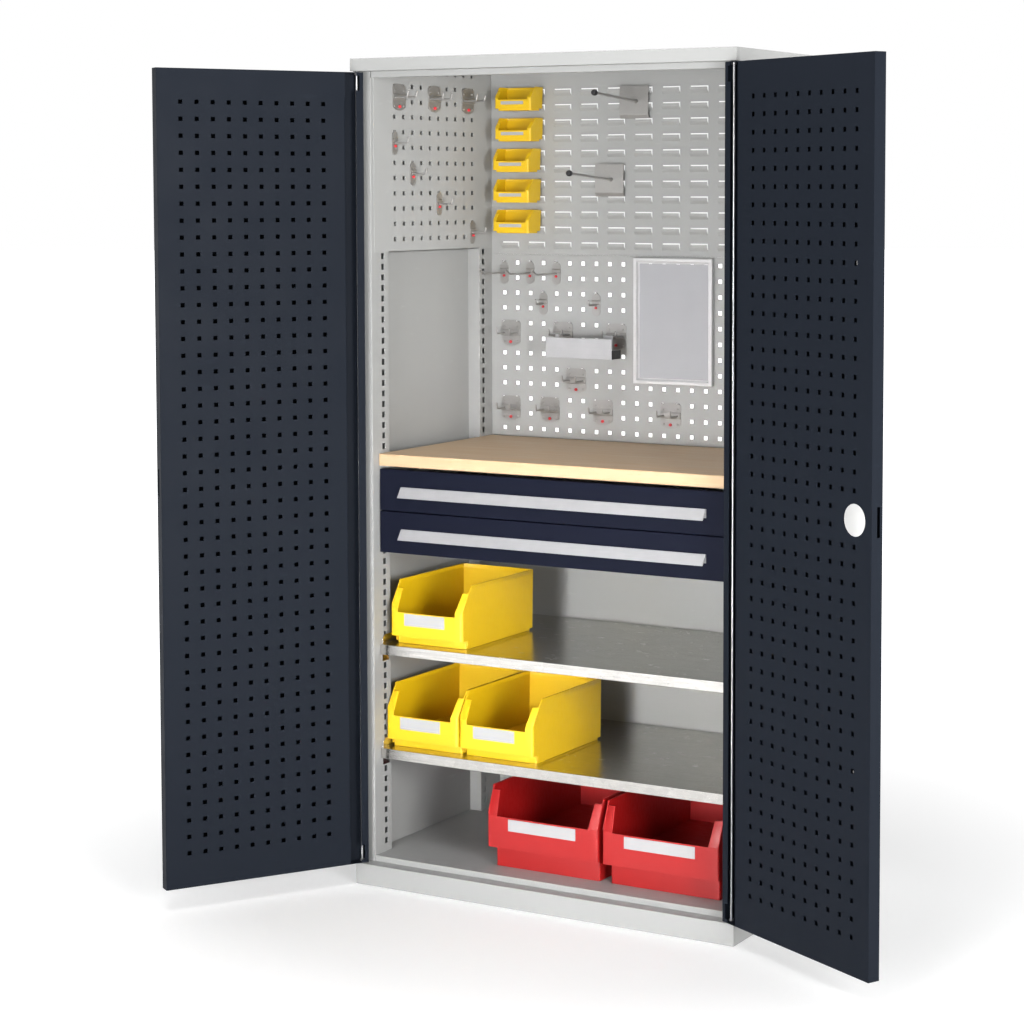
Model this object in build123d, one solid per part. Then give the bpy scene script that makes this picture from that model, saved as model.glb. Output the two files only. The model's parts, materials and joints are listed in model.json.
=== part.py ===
"""Double-door tool cabinet: hook panels, louvred back, beech worktop, two drawers, shelves and bins.

Millimetres, +Z up, origin on the floor under the middle of the carcass, +X to the right, -Y to
the front. Doors are built shut and then swung to the pose in which they rest.
"""

from build123d import *
from math import cos, radians, sin
from typing import NamedTuple
import os

# ---------------------------------------------------------------- driving dimensions
WIDTH = 1000.0
DEPTH = 600.0
HEIGHT = 1950.0
PLINTH_H = 50.0
CAP_H = 29.0
SKIN = 1.5                      # folded sheet of the carcass
GAP = 0.5                       # assembly gap between neighbouring bodies

FRONT = -DEPTH / 2
BACK = DEPTH / 2
SIDE = WIDTH / 2
CAP_Z = HEIGHT - CAP_H

JAMB_Y = -268.0                 # rebate that the shut doors lie in front of
INNER_X = 466.0                 # slotted face of the uprights
FRONT_UPRIGHT_BACK = -197.0
REAR_UPRIGHT_FRONT = 205.0
FITTING_Y = -243.0              # front plane of worktop, drawers and shelves
FLOOR_TOP = 64.0
HEADER_BOTTOM = 1907.0

# raster of square holes shared by all hook panels
PITCH = 38.0
SQUARE = 10.0
SIDE_PITCH_Z = 36.2
BACK_PANEL_Y = 264.0
BACK_FIRST_X = -427.0
BACK_TOP_Z = 1463.0
PANEL_SPLIT_Z = 1484.0
PANEL_TOP_Z = HEIGHT - SKIN - 3   # the inner panels reach up into the hollow cap
SIDE_FIRST_Y = -170.0
SIDE_BOTTOM_ROW_Z = 1529.0
SIDE_PANEL_BOTTOM = 1499.0

# louvres
LOUVRE_COLUMNS = 11
LOUVRE_ROWS = 11
LOUVRE_W = 48.0
LOUVRE_H = 18.0
LOUVRE_RISE = 7.0
LOUVRE_GAP = 3.0                # open slit above each tongue
LOUVRE_BOTTOM_Z = 1516.0        # open upper edge of the lowest row

# uprights
SLOT_PITCH = 25.0
SLOT_W = 9.0
SLOT_H = 13.0
FRONT_SLOT_Y = -221.0
REAR_SLOT_Y = 224.0

# worktop and drawers
TOP_Z = 1024.0
TOP_T = 29.0
DRAWER_H = 98.0
DRAWER_PITCH = 100.0
DRAWER_W = 926.0
DRAWER_FRONT_T = 18.0
DRAWER_BOTTOM_Z = 790.0
DRAWER_BOX_BACK = 215.0
HANDLE_W = 804.0
HANDLE_H = 24.0
HANDLE_OUT = 19.0
HANDLE_TOP = 58.0               # above the front's lower edge

# shelves
SHELF_Z = (568.0, 318.0)
SHELF_T = 24.0
SHELF_BACK = 290.0
STOP_H = 22.0                   # end stops that keep bins on the shelf

# doors
DOOR_W = 497.5
DOOR_T = 28.0
DOOR_BOTTOM = 53.0
DOOR_TOP = 1918.0
DOOR_SHEET = 1.2
HINGE_RETURN = 18.0
PLATE_FROM_HINGE = 46.0
PIVOT_X = 489.0
PIVOT_Y = -289.0
ROD_R = 3.0
RUNNING = 0.05                  # radial clearance of every running fit
LEFT_OPEN = 122.3
RIGHT_OPEN = 152.6
DOOR_OUTER_X = 498.5

# lock
LOCK_X = 54.0
LOCK_Z = 986.0
COVER_R = 33.0
BAR_R = 4.0
BAR_Y = FRONT + 18.0
CRANK_R = 12.7                  # crank pins swing from 45 degrees below to 45 above level
PIN_R = 2.0
PIN_PLAY = 0.8
LATCH_REACH = 60.0


# ---------------------------------------------------------------- helpers
def block(x0, x1, y0, y1, z0, z1):
    """Box between two opposite corners."""
    centre = ((x0 + x1) / 2, (y0 + y1) / 2, (z0 + z1) / 2)
    return Pos(*centre) * Box(abs(x1 - x0), abs(y1 - y0), abs(z1 - z0))


def folded(points, thickness):
    """Closed outline of one sheet folded along `points`, mitred at every bend, left side."""
    near = [Vector(*p) for p in points]
    far = []
    for i, point in enumerate(near):
        before = (point - near[i - 1]).normalized() if i else None
        after = (near[i + 1] - point).normalized() if i < len(near) - 1 else None
        first = before or after
        last = after or before
        n0 = Vector(-first.Y, first.X)
        n1 = Vector(-last.Y, last.X)
        bisector = (n0 + n1).normalized()
        far.append(point + bisector * (thickness / bisector.dot(n0)))
    return make_face(Polyline(*near, *reversed(far), close=True))


def plan_fold(points, thickness, z0, z1):
    """Sheet folded in plan and extruded upwards."""
    return extrude(Pos(0, 0, z0) * folded(points, thickness), z1 - z0)


def side_profile(face, x0, x1):
    """Face drawn as (Y, Z), extruded from x0 to x1."""
    return extrude(Plane.YZ.offset(x0) * face, x1 - x0)


def front_profile(face, y0, y1):
    """Face drawn as (X, Z), extruded from y0 back to y1."""
    return extrude(Plane.XZ.offset(-y0) * face, -(y1 - y0))


def mirrored(shape):
    """Twin on the other side of the cabinet."""
    return mirror(shape, Plane.YZ)


def group(shapes):
    """Separate solids kept together in one node."""
    return Compound(children=[s for shape in shapes for s in shape.solids()])


def grid(columns, rows, pitch_u, pitch_v):
    """Offsets of a raster that starts at (0, 0)."""
    return [(i * pitch_u, j * pitch_v) for j in range(rows) for i in range(columns)]


def pierced(width, height, thickness, holes):
    """Plate with its lower left corner at the origin, square-pierced, standing in X-Z."""
    outer = Pos(width / 2, height / 2) * Rectangle(width, height)
    cuts = [Pos(u, v) * Rectangle(w, h) for u, v, w, h in holes]
    face = outer - cuts if cuts else outer
    return extrude(Plane.XZ * face, -thickness)


def wire_rod(points, radius):
    """Bent wire with a hexagonal section, mitred at each bend."""
    path = Polyline(*points)
    start = Vector(*points[0])
    direction = Vector(*points[1]) - start
    section = Plane(origin=start, z_dir=direction) * RegularPolygon(radius, 6)
    return sweep(section, path=path, transition=Transition.RIGHT)


def tube_z(radius, bore, z0, z1):
    """Upright sleeve on the Z axis."""
    return extrude(Pos(0, 0, z0) * (Circle(radius) - Circle(bore)), z1 - z0)


def save(name, shape):
    """Write one node."""
    export_step(shape, f"parts/{name}.step")


# ---------------------------------------------------------------- carcass
def plinth():
    """Folded base, closed above and below, with openings for the lock bar and lower bushes."""
    body = block(-SIDE, SIDE, FRONT, BACK, 0, PLINTH_H)
    body -= block(-SIDE + SKIN, SIDE - SKIN, FRONT + SKIN, BACK - SKIN, SKIN, PLINTH_H - SKIN)
    body -= Pos(LOCK_X, BAR_Y, PLINTH_H) * Cylinder(BAR_R + 1.5, 10)
    for sign in (-1, 1):
        body -= Pos(sign * PIVOT_X, PIVOT_Y, PLINTH_H) * Cylinder(5.5, 10)
    return body


def floor_panel():
    """Raised floor tray whose front fold is the sill behind the shut doors."""
    points = [(BACK - 3, PLINTH_H + 2), (BACK - 3, FLOOR_TOP)]
    points += [(JAMB_Y, FLOOR_TOP), (JAMB_Y, PLINTH_H)]
    tray = side_profile(folded(points, SKIN), -SIDE + SKIN + GAP, SIDE - SKIN - GAP)
    for sign in (-1, 1):
        inner = sign * (INNER_X - GAP)
        outer = sign * (SIDE + 1)
        tray -= block(inner, outer, JAMB_Y - 5, FRONT_UPRIGHT_BACK + GAP, PLINTH_H - 1, FLOOR_TOP + 1)
        tray -= block(inner, outer, REAR_UPRIGHT_FRONT - GAP, BACK + 5, PLINTH_H - 1, FLOOR_TOP + 1)
    return tray


def top_cap():
    """Top cover with a deep front band and an underside rim around the carcass."""
    body = block(-SIDE, SIDE, FRONT, BACK, CAP_Z, HEIGHT)
    body -= block(-SIDE + SKIN, SIDE - SKIN, FRONT + SKIN, BACK - SKIN, CAP_Z + SKIN, HEIGHT - SKIN)
    body -= block(-INNER_X - 0.5, INNER_X + 0.5, JAMB_Y + 4, BACK - 12, CAP_Z - 1, CAP_Z + SKIN + 1)
    body -= Pos(LOCK_X, BAR_Y, CAP_Z) * Cylinder(BAR_R + 1.5, 10)
    for sign in (-1, 1):
        body -= Pos(sign * PIVOT_X, PIVOT_Y, CAP_Z) * Cylinder(5.5, 10)
    seam = block(-SIDE - 1, SIDE + 1, FRONT + 11, FRONT + 11.6, CAP_Z - 1, HEIGHT - SKIN / 2)
    body -= seam - block(-SIDE + SKIN / 2, SIDE - SKIN / 2, FRONT, BACK, 0, HEIGHT)
    return body


def header_rail():
    """Recessed rail under the cap that closes the top of the door opening."""
    points = [(JAMB_Y, CAP_Z), (JAMB_Y, HEADER_BOTTOM)]
    points += [(JAMB_Y + 26, HEADER_BOTTOM), (JAMB_Y + 26, CAP_Z)]
    half = INNER_X - SKIN - GAP
    return side_profile(folded(points, SKIN), -half, half)


def side_wall(sign):
    """Side skin with its jamb folded in at the front and a return at the back."""
    x = SIDE
    points = [(INNER_X, JAMB_Y), (x, JAMB_Y), (x, BACK - SKIN - GAP), (x - 12, BACK - SKIN - GAP)]
    wall = plan_fold(points, SKIN, PLINTH_H, CAP_Z)
    return wall if sign > 0 else mirrored(wall)


def used_slots():
    """Heights of the slots that carry a tab: shelf clips, worktop bearers and drawer plates."""
    heights = {slot_height(top - SHELF_T - 4) for top in SHELF_Z}
    heights |= {slot_height(TOP_Z - TOP_T - 16), slot_height(DRAWER_BOTTOM_Z + 22)}
    return sorted(heights | {slot_height(TOP_Z - TOP_T - 54)})


def upright(front, back, slot_y):
    """Slotted channel on the right side wall, open towards the wall."""
    wall_x = SIDE - SKIN
    points = [(wall_x, back), (INNER_X, back), (INNER_X, front), (wall_x, front)]
    channel = plan_fold(points, SKIN, PLINTH_H + GAP, CAP_Z - GAP)
    slots = [Pos(slot_y, z) * Rectangle(SLOT_W, SLOT_H) for z in used_slots()]
    return channel - side_profile(Sketch() + slots, INNER_X - 5, INNER_X + 5)


def uprights(sign):
    """Front and rear slotted channel of one side."""
    front = upright(JAMB_Y + SKIN, FRONT_UPRIGHT_BACK, FRONT_SLOT_Y)
    rear = upright(REAR_UPRIGHT_FRONT, BACK - 3 * SKIN, REAR_SLOT_Y)
    pair = [front, rear]
    return group(pair if sign > 0 else [mirrored(s) for s in pair])


# ---------------------------------------------------------------- panels
def back_panel_holes():
    """Square holes that carry a hook's lug, as (X from the panel's left edge, Z, w, h)."""
    left = -INNER_X + 1
    bottom = TOP_Z + 1
    corner_x = BACK_FIRST_X - left
    corner_z = BACK_TOP_Z - bottom
    cells = sorted(BACK_HOOK_CELLS)
    return [(corner_x + PITCH * i, corner_z - PITCH * j, SQUARE, SQUARE) for i, j in cells]


def perforated_back_panel():
    """Hook panel behind the worktop."""
    left = -INNER_X + 1
    width = 2 * (INNER_X - 1)
    plate = pierced(width, PANEL_SPLIT_Z - TOP_Z - 1.5, SKIN, back_panel_holes())
    plate = Pos(left, BACK_PANEL_Y, TOP_Z + 1) * plate
    for z in (TOP_Z + 1, PANEL_SPLIT_Z - 2):
        plate += block(left, -left, BACK_PANEL_Y, BACK_PANEL_Y + 14, z, z + SKIN)
    return plate


def louvre(x, z_open):
    """One pressed louvre: a tongue that leans forward to an open upper edge."""
    low = z_open - LOUVRE_H
    foot = BACK_PANEL_Y
    nose = BACK_PANEL_Y - LOUVRE_RISE
    rim = z_open - LOUVRE_GAP
    outline = [(foot, low), (nose, low + LOUVRE_RISE), (nose, rim), (nose + SKIN, rim), (foot + SKIN, low)]
    face = make_face(Polyline(*outline, close=True))
    return side_profile(face, x - LOUVRE_W / 2, x + LOUVRE_W / 2)


def louvre_places():
    """Centre X and open-edge Z of every louvre."""
    first = BACK_FIRST_X + PITCH / 2
    raster = grid(LOUVRE_COLUMNS, LOUVRE_ROWS, 2 * PITCH, PITCH)
    return [(first + u, LOUVRE_BOTTOM_Z + v) for u, v in raster]


def louvred_back_panel():
    """Upper back panel with rows of pressed louvres for hanging bins."""
    left = -INNER_X + 1
    bottom = PANEL_SPLIT_Z
    height = PANEL_TOP_Z - bottom
    holes = [(x - left, z - LOUVRE_H / 2 - bottom, LOUVRE_W, LOUVRE_H) for x, z in louvre_places()]
    plate = Pos(left, BACK_PANEL_Y, bottom) * pierced(-2 * left, height, SKIN, holes)
    plate += [louvre(x, z) for x, z in louvre_places()]
    plate += block(left, -left, BACK_PANEL_Y, BACK_PANEL_Y + 14, bottom, bottom + SKIN)
    return plate


def lower_back_panel():
    """Plain rear wall of the lower compartments, folded round its edges."""
    half = SIDE - 14
    z0 = FLOOR_TOP - 13
    z1 = TOP_Z + 6
    panel = block(-half, half, BACK - SKIN, BACK, z0, z1)
    inner = INNER_X - 1
    panel += block(-inner, inner, BACK - 20, BACK, z1 - SKIN, z1)
    return panel


def side_hook_panel(sign):
    """Perforated side panel hooked over both uprights above the worktop."""
    y0 = JAMB_Y + 12
    y1 = BACK_PANEL_Y - 2
    cells = sorted(SIDE_HOOK_CELLS) if sign < 0 else []
    holes = [(SIDE_FIRST_Y + PITCH * i, SIDE_BOTTOM_ROW_Z + SIDE_PITCH_Z * j) for i, j in cells]
    z_top = PANEL_TOP_Z
    middle = Pos((y0 + y1) / 2, (SIDE_PANEL_BOTTOM + z_top) / 2)
    outer = middle * Rectangle(y1 - y0, z_top - SIDE_PANEL_BOTTOM)
    face = outer
    if holes:
        face = outer - [Pos(y, z) * Rectangle(SQUARE, SQUARE) for y, z in holes]
    plate = side_profile(face, INNER_X - SKIN, INNER_X)
    fold_y = (FRONT_UPRIGHT_BACK + 1, REAR_UPRIGHT_FRONT - 1)
    fold_z = (SIDE_PANEL_BOTTOM, SIDE_PANEL_BOTTOM + SKIN)
    plate += block(INNER_X - SKIN, INNER_X + 12, *fold_y, *fold_z)
    return plate if sign > 0 else mirrored(plate)


# ---------------------------------------------------------------- worktop, drawers, shelves
def worktop():
    """Beech board with eased front edges."""
    board = block(-INNER_X + 1, INNER_X - 1, FITTING_Y, BACK_PANEL_Y - 1, TOP_Z - TOP_T, TOP_Z)
    front_edges = [e for e in board.edges().filter_by(Axis.X) if e.center().Y < FITTING_Y + 1]
    return fillet(front_edges, 2.5)


def worktop_bearers():
    """Angle brackets that hook into the uprights and carry the board."""
    low = TOP_Z - TOP_T
    points = [(INNER_X, low - 30), (INNER_X, low), (INNER_X - 28, low)]
    face = folded(points, SKIN)
    bearer = front_profile(face, FITTING_Y + 4, BACK_PANEL_Y - 2)
    for y in (FRONT_SLOT_Y, REAR_SLOT_Y):
        bearer += bearer_tab(y, slot_height(low - 16))
    return group([bearer, mirrored(bearer)])


def slot_height(z):
    """Centre height of the slot nearest to z."""
    first = PLINTH_H + 40
    return first + SLOT_PITCH * round((z - first) / SLOT_PITCH)


def bearer_tab(y, z):
    """Tab through one slot of an upright on the right."""
    tab = block(INNER_X - 1, INNER_X + 6, y - 1.5, y + 1.5, z - 5, z + 4)
    return tab + block(INNER_X + SKIN + 0.4, INNER_X + 6, y - 1.5, y + 1.5, z - 11, z - 5)


def drawer_side_plates():
    """Pair of side plates hung in the slots, carrying the drawer runners."""
    x1 = INNER_X - GAP
    z0 = DRAWER_BOTTOM_Z + 2
    z1 = TOP_Z - TOP_T - 34
    plate = block(x1 - SKIN, x1, FITTING_Y + DRAWER_FRONT_T + 4, BACK_PANEL_Y - 4, z0, z1)
    for y in (FRONT_SLOT_Y, REAR_SLOT_Y):
        for z in (slot_height(z0 + 20), slot_height(z1 - 20)):  # two tabs per upright
            plate += bearer_tab(y, z)
    return group([plate, mirrored(plate)])


RUNNER_X1 = INNER_X - GAP - SKIN        # outer face of the runner pack
RUNNER_H = 35.0
RUNNER_Y0 = FITTING_Y + DRAWER_FRONT_T + 6
RUNNER_Y1 = DRAWER_BOX_BACK


def runner_z(level):
    """Middle height of a drawer's runners."""
    return DRAWER_BOTTOM_Z + DRAWER_PITCH * level + 42


def runner_channel(x_open, x_web, height, y0, y1, z):
    """C-shaped rolled channel, web at x_web and lips towards x_open."""
    half = height / 2
    lip = 4.0
    if x_web > x_open:
        points = [(x_open, z + half - lip), (x_open, z + half), (x_web, z + half)]
        points += [(x_web, z - half), (x_open, z - half), (x_open, z - half + lip)]
        return front_profile(folded(points, -1.2), y0, y1)
    points = [(x_open, z - half + lip), (x_open, z - half), (x_web, z - half)]
    points += [(x_web, z + half), (x_open, z + half), (x_open, z + half - lip)]
    return front_profile(folded(points, -1.2), y0, y1)


def runner_outer(level):
    """Fixed outer members, one each side."""
    x1 = RUNNER_X1
    member = runner_channel(x1 - 8.5, x1, RUNNER_H, RUNNER_Y0, RUNNER_Y1, runner_z(level))
    return [member, mirrored(member)]


def runner_middle(level):
    """Travelling middle members, one each side."""
    x1 = RUNNER_X1 - 2.2
    z = runner_z(level)
    points = [(x1 - 9.5, z - 11.5), (x1 - 4, z - 11.5), (x1 - 4, z - 8), (x1, z - 8), (x1, z + 8)]
    points += [(x1 - 4, z + 8), (x1 - 4, z + 11.5), (x1 - 9.5, z + 11.5)]
    profile = front_profile(folded(points, 1.2), RUNNER_Y0 + 3, RUNNER_Y1 - 3)
    return group([profile, mirrored(profile)])


def drawer_box(level):
    """Welded drawer tray with its inner runner members."""
    z0 = DRAWER_BOTTOM_Z + DRAWER_PITCH * level + 12
    z1 = z0 + 72
    half = RUNNER_X1 - 14.5
    y0 = FITTING_Y + DRAWER_FRONT_T
    tray = block(-half, half, y0, DRAWER_BOX_BACK, z0, z1)
    tray -= block(-half + 1.2, half - 1.2, y0 + 1.2, DRAWER_BOX_BACK - 1.2, z0 + 1.2, z1 + 1)
    z = runner_z(level)
    for sign in (-1, 1):
        tray += block(sign * half, sign * (half + 3.4), RUNNER_Y0, RUNNER_Y1, z - 6, z + 6)
    rim = block(-half - 0.01, half + 0.01, y0, DRAWER_BOX_BACK, z1 - 1.2, z1)
    rim -= block(-half + 8, half - 8, y0 + 8, DRAWER_BOX_BACK - 8, z1 - 3, z1 + 1)
    return tray + rim


def drawer_front(level):
    """Double-folded drawer front."""
    z0 = DRAWER_BOTTOM_Z + DRAWER_PITCH * level
    half = DRAWER_W / 2
    front = block(-half, half, FITTING_Y, FITTING_Y + DRAWER_FRONT_T, z0, z0 + DRAWER_H)
    front_edges = [e for e in front.edges() if e.center().Y < FITTING_Y + 0.1]
    front = chamfer(front_edges, 1.0)
    y0 = FITTING_Y + SKIN
    y1 = FITTING_Y + DRAWER_FRONT_T - SKIN
    front -= block(-half + SKIN, half - SKIN, y0, y1, z0 + SKIN, z0 + DRAWER_H - SKIN)
    return front


def drawer_handle(level):
    """Full-width aluminium grip strip: a flange on the front, and a blade that slopes out and down."""
    top = DRAWER_BOTTOM_Z + DRAWER_PITCH * level + HANDLE_TOP
    low = top - HANDLE_H
    y = FITTING_Y
    out = y - HANDLE_OUT
    flange = [(y, top), (y, low + 4), (y - 1.5, low + 4), (y - 1.5, top - 5)]
    blade = [(out + 1.8, low), (out, low), (y - 3, top)]
    return side_profile(make_face(Polyline(*flange, *blade, close=True)), -HANDLE_W / 2, HANDLE_W / 2)


def shelf(top):
    """Galvanised shelf, folded down on four sides with a hemmed front and a stop at each end."""
    half = INNER_X - 1.5
    z0 = top - SHELF_T
    body = block(-half, half, FITTING_Y, SHELF_BACK, z0, top)
    body -= block(-half + SKIN, half - SKIN, FITTING_Y + SKIN, SHELF_BACK - SKIN, z0 - 1, top - SKIN)
    hem = [(FITTING_Y + SKIN, z0), (FITTING_Y + 14, z0), (FITTING_Y + 14, z0 + 5)]
    body += side_profile(folded(hem, SKIN), -half + 20, half - 20)
    y0 = FITTING_Y + 8
    y1 = SHELF_BACK - 8
    stop = [(y0, top - 1), (y0, top + 14), (y0 + 8, top + STOP_H), (y1, top + STOP_H), (y1, top - 1)]
    face = make_face(Polyline(*stop, close=True))
    body += side_profile(face, -half, -half + SKIN)
    body += side_profile(face, half - SKIN, half)
    return body


def shelf_brackets():
    """Four clips under each shelf, hooked into the slots."""
    clips = []
    for top in SHELF_Z:
        z = top - SHELF_T
        seat = slot_height(z - 4)
        for y in (FRONT_SLOT_Y, REAR_SLOT_Y):
            points = [(INNER_X, seat - 14), (INNER_X, z), (INNER_X - 20, z)]
            clip = front_profile(folded(points, SKIN), y - 14, y + 14)
            clip += bearer_tab(y, seat)
            clips += [clip, mirrored(clip)]
    return group(clips)


# ---------------------------------------------------------------- doors (built shut, right-hand)
def door_pan(lock):
    """Outer tray of the right-hand door: skin, four edges and the hinge-side return."""
    x0 = DOOR_OUTER_X - DOOR_W
    x1 = DOOR_OUTER_X
    y0 = FRONT
    y1 = FRONT + DOOR_T
    t = DOOR_SHEET
    pan = block(x0, x1, y0, y1, DOOR_BOTTOM, DOOR_TOP)
    pan -= block(x0 + t, x1 - t, y0 + t, y1 - t, DOOR_BOTTOM + t, DOOR_TOP - t)
    pan -= block(x0 + t, x1 - HINGE_RETURN, y1 - 5, y1 + 1, DOOR_BOTTOM + t, DOOR_TOP - t)
    for z in (DOOR_BOTTOM + 8, DOOR_TOP - 42):
        pan -= block(x1 - HINGE_RETURN - 1, x1 - 9, y1 - 4, y1 + 1, z, z + 34)
    pan -= Pos(PIVOT_X, PIVOT_Y, (DOOR_BOTTOM + DOOR_TOP) / 2) * Cylinder(ROD_R, DOOR_TOP - DOOR_BOTTOM + 2)
    pan -= block(x0 - 1, x0 + 3, y0 + 6, y0 + 14, LOCK_Z - 31, LOCK_Z + 31)
    if lock:
        pan -= Pos(LOCK_X, BAR_Y, DOOR_TOP) * Cylinder(BAR_R + 0.6, 8)
        pan -= Pos(LOCK_X, BAR_Y, DOOR_BOTTOM) * Cylinder(BAR_R + 0.6, 8)
        pan -= Pos(LOCK_X, FRONT, LOCK_Z) * Rot(90, 0, 0) * Cylinder(13, 8)
    return pan


def door_plate(lock):
    """Inner hook plate: hat-folded sheet that nests in the pan."""
    x0 = DOOR_OUTER_X - DOOR_W + DOOR_SHEET
    x1 = DOOR_OUTER_X - PLATE_FROM_HINGE
    y1 = FRONT + DOOR_T
    t = DOOR_SHEET
    z0 = DOOR_BOTTOM + DOOR_SHEET
    z1 = DOOR_TOP - DOOR_SHEET
    plate = block(x0, x1, y1 - t, y1, z0, z1)
    plate += block(x1 - t, x1, FRONT + DOOR_SHEET, y1, z0 + 60, z1 - 60)
    plate += block(x1 - 16, x1, FRONT + DOOR_SHEET, FRONT + DOOR_SHEET + t, z0 + 60, z1 - 60)
    for z in (z0, z1 - t):
        plate += block(x0, x1 - 30, y1 - 12, y1, z, z + t)
    if lock:
        plate -= Pos(LOCK_X, y1, LOCK_Z) * Rot(90, 0, 0) * Cylinder(COVER_R - 4, 8)
        for z in (DOOR_BOTTOM, DOOR_TOP):
            plate -= Pos(LOCK_X, BAR_Y, z) * Cylinder(BAR_R + 0.6, 8)
    return plate


def hinge_rod():
    """Long zinc-plated rod on which the door swings, with a collar inside each end."""
    length = DOOR_TOP - DOOR_BOTTOM + 20
    rod = Pos(PIVOT_X, PIVOT_Y, 0) * extrude(Pos(0, 0, DOOR_BOTTOM - 10) * Circle(ROD_R), length)
    for z in (DOOR_BOTTOM + DOOR_SHEET, DOOR_TOP - DOOR_SHEET - 4):
        rod += Pos(PIVOT_X, PIVOT_Y, 0) * extrude(Pos(0, 0, z) * Circle(5.5), 4)
    return rod


def hinge_bushes():
    """Four flanged bushes pressed into cap and plinth."""
    bore = ROD_R + RUNNING
    upper = tube_z(5.5, bore, CAP_Z, CAP_Z + 9) + tube_z(8, bore, CAP_Z - 1.2, CAP_Z)
    lower = tube_z(5.5, bore, PLINTH_H - 12, PLINTH_H) + tube_z(8, bore, PLINTH_H, PLINTH_H + 1.2)
    bushes = []
    for sign in (-1, 1):
        for bush in (upper, lower):
            bushes.append(Pos(sign * PIVOT_X, PIVOT_Y, 0) * bush)
    return group(bushes)


def turned(profile_points):
    """Solid of revolution about the lock axis; points are (radius, Y)."""
    face = make_face(Polyline(*[(LOCK_X + r, y) for r, y in profile_points], close=True))
    return Pos(0, 0, LOCK_Z) * revolve(face, Axis((LOCK_X, 0, 0), (0, 1, 0)))


def lock_body():
    """Rosette, threaded barrel and inner nut plate of the turn lock."""
    y = FRONT
    bore = 8.0 + RUNNING
    barrel = [(bore, y - 6), (27, y - 3.5), (30, y), (13, y), (13, y + 6), (19, y + 6)]
    barrel += [(19, y + 8), (bore, y + 8)]
    return turned(barrel)


def lock_knob():
    """Turn knob with a raised finger bar and its square-ended shaft."""
    y = FRONT
    knob = turned([(0, y - 20), (16, y - 20), (19, y - 18), (19, y - 7), (8, y - 7), (8, y + 9), (0, y + 9)])
    grip = Pos(LOCK_X, y - 22, LOCK_Z) * Box(9, 12, 36)
    grip = fillet(grip.edges().filter_by(Axis.Y), 3)
    return knob + grip


def lock_cam():
    """Crank disc on the knob's shaft: two drive pins and the latch arm, which stands up at rest."""
    y0 = FRONT + 9
    disc = turned([(0, y0), (17, y0), (17, y0 + 2), (0, y0 + 2)])
    for angle in (-45, 135):
        x = LOCK_X + CRANK_R * cos(radians(angle))
        z = LOCK_Z + CRANK_R * sin(radians(angle))
        disc += Pos(x, y0 + 4.6, z) * Rot(90, 0, 0) * Cylinder(PIN_R, 5.2)
    half = 7.0
    arm = [(LOCK_X - half, LOCK_Z), (LOCK_X + half, LOCK_Z), (LOCK_X + half, LOCK_Z + LATCH_REACH - 4)]
    arm += [(LOCK_X + half - 4, LOCK_Z + LATCH_REACH - 1), (LOCK_X - half, LOCK_Z + LATCH_REACH - 1)]
    return disc + front_profile(make_face(Polyline(*arm, close=True)), y0, y0 + 2)


def lock_bar(sign):
    """Round locking bar with a flat, slotted end that one crank pin drives."""
    end = DOOR_TOP - 1.5 if sign > 0 else DOOR_BOTTOM + 1.5
    start = LOCK_Z + sign * 30
    rod = Pos(LOCK_X, BAR_Y, 0) * extrude(Pos(0, 0, start) * Circle(BAR_R), end - start)
    y0 = BAR_Y - 3
    level = -sign * CRANK_R * sin(radians(45))
    side = sign
    x_in = LOCK_X + side * 4.5
    x_out = LOCK_X + side * (CRANK_R + PIN_R + 4)
    flat = block(x_in, x_out, y0, y0 + 2, LOCK_Z + level - sign * 6, LOCK_Z + sign * 44)
    flat += block(LOCK_X - side * 4, x_out, y0, y0 + 2, LOCK_Z + sign * 30, LOCK_Z + sign * 44)
    slot_h = 2 * (PIN_R + PIN_PLAY)
    slot_x = (CRANK_R * cos(radians(45)) + CRANK_R) / 2
    slot_w = CRANK_R * (1 - cos(radians(45))) + slot_h
    slot = Pos(LOCK_X + side * slot_x, y0 + 1, LOCK_Z + level) * Box(slot_w, 4, slot_h)
    return flat - slot + rod


def bar_guides():
    """Two folded straps that keep the bars in line."""
    guides = []
    for z in (LOCK_Z - 520, LOCK_Z + 520):
        y0 = FRONT + DOOR_SHEET
        w = BAR_R + 1.0
        points = [(LOCK_X - 16, y0), (LOCK_X - w, y0), (LOCK_X - w, BAR_Y + w), (LOCK_X + w, BAR_Y + w)]
        points += [(LOCK_X + w, y0), (LOCK_X + 16, y0)]
        guides.append(plan_fold(points, DOOR_SHEET, z - 10, z + 10))
    return group(guides)


def lock_cover():
    """White round cap that closes the inner plate behind the lock."""
    y = FRONT + DOOR_T
    dish = [(0, y + 1.6), (COVER_R - 3, y + 1.6), (COVER_R, y + 0.6), (COVER_R, y), (COVER_R - 4.2, y)]
    dish += [(COVER_R - 4.2, y - 4), (COVER_R - 6, y - 4), (COVER_R - 6, y), (0, y)]
    return turned(dish)


def swung(shape, sign):
    """Place a shut right-hand door piece at its resting angle (sign -1 gives the left door)."""
    if sign < 0:
        shape = mirrored(shape)
        return shape.rotate(Axis((-PIVOT_X, PIVOT_Y, 0), (0, 0, 1)), -LEFT_OPEN)
    return shape.rotate(Axis((PIVOT_X, PIVOT_Y, 0), (0, 0, 1)), RIGHT_OPEN)


# ---------------------------------------------------------------- wall fittings
HOOK_SHEET = 1.5


class Cell(NamedTuple):
    """Hook position on a raster: column and row of its upper prong."""

    column: int
    row: int


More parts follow.
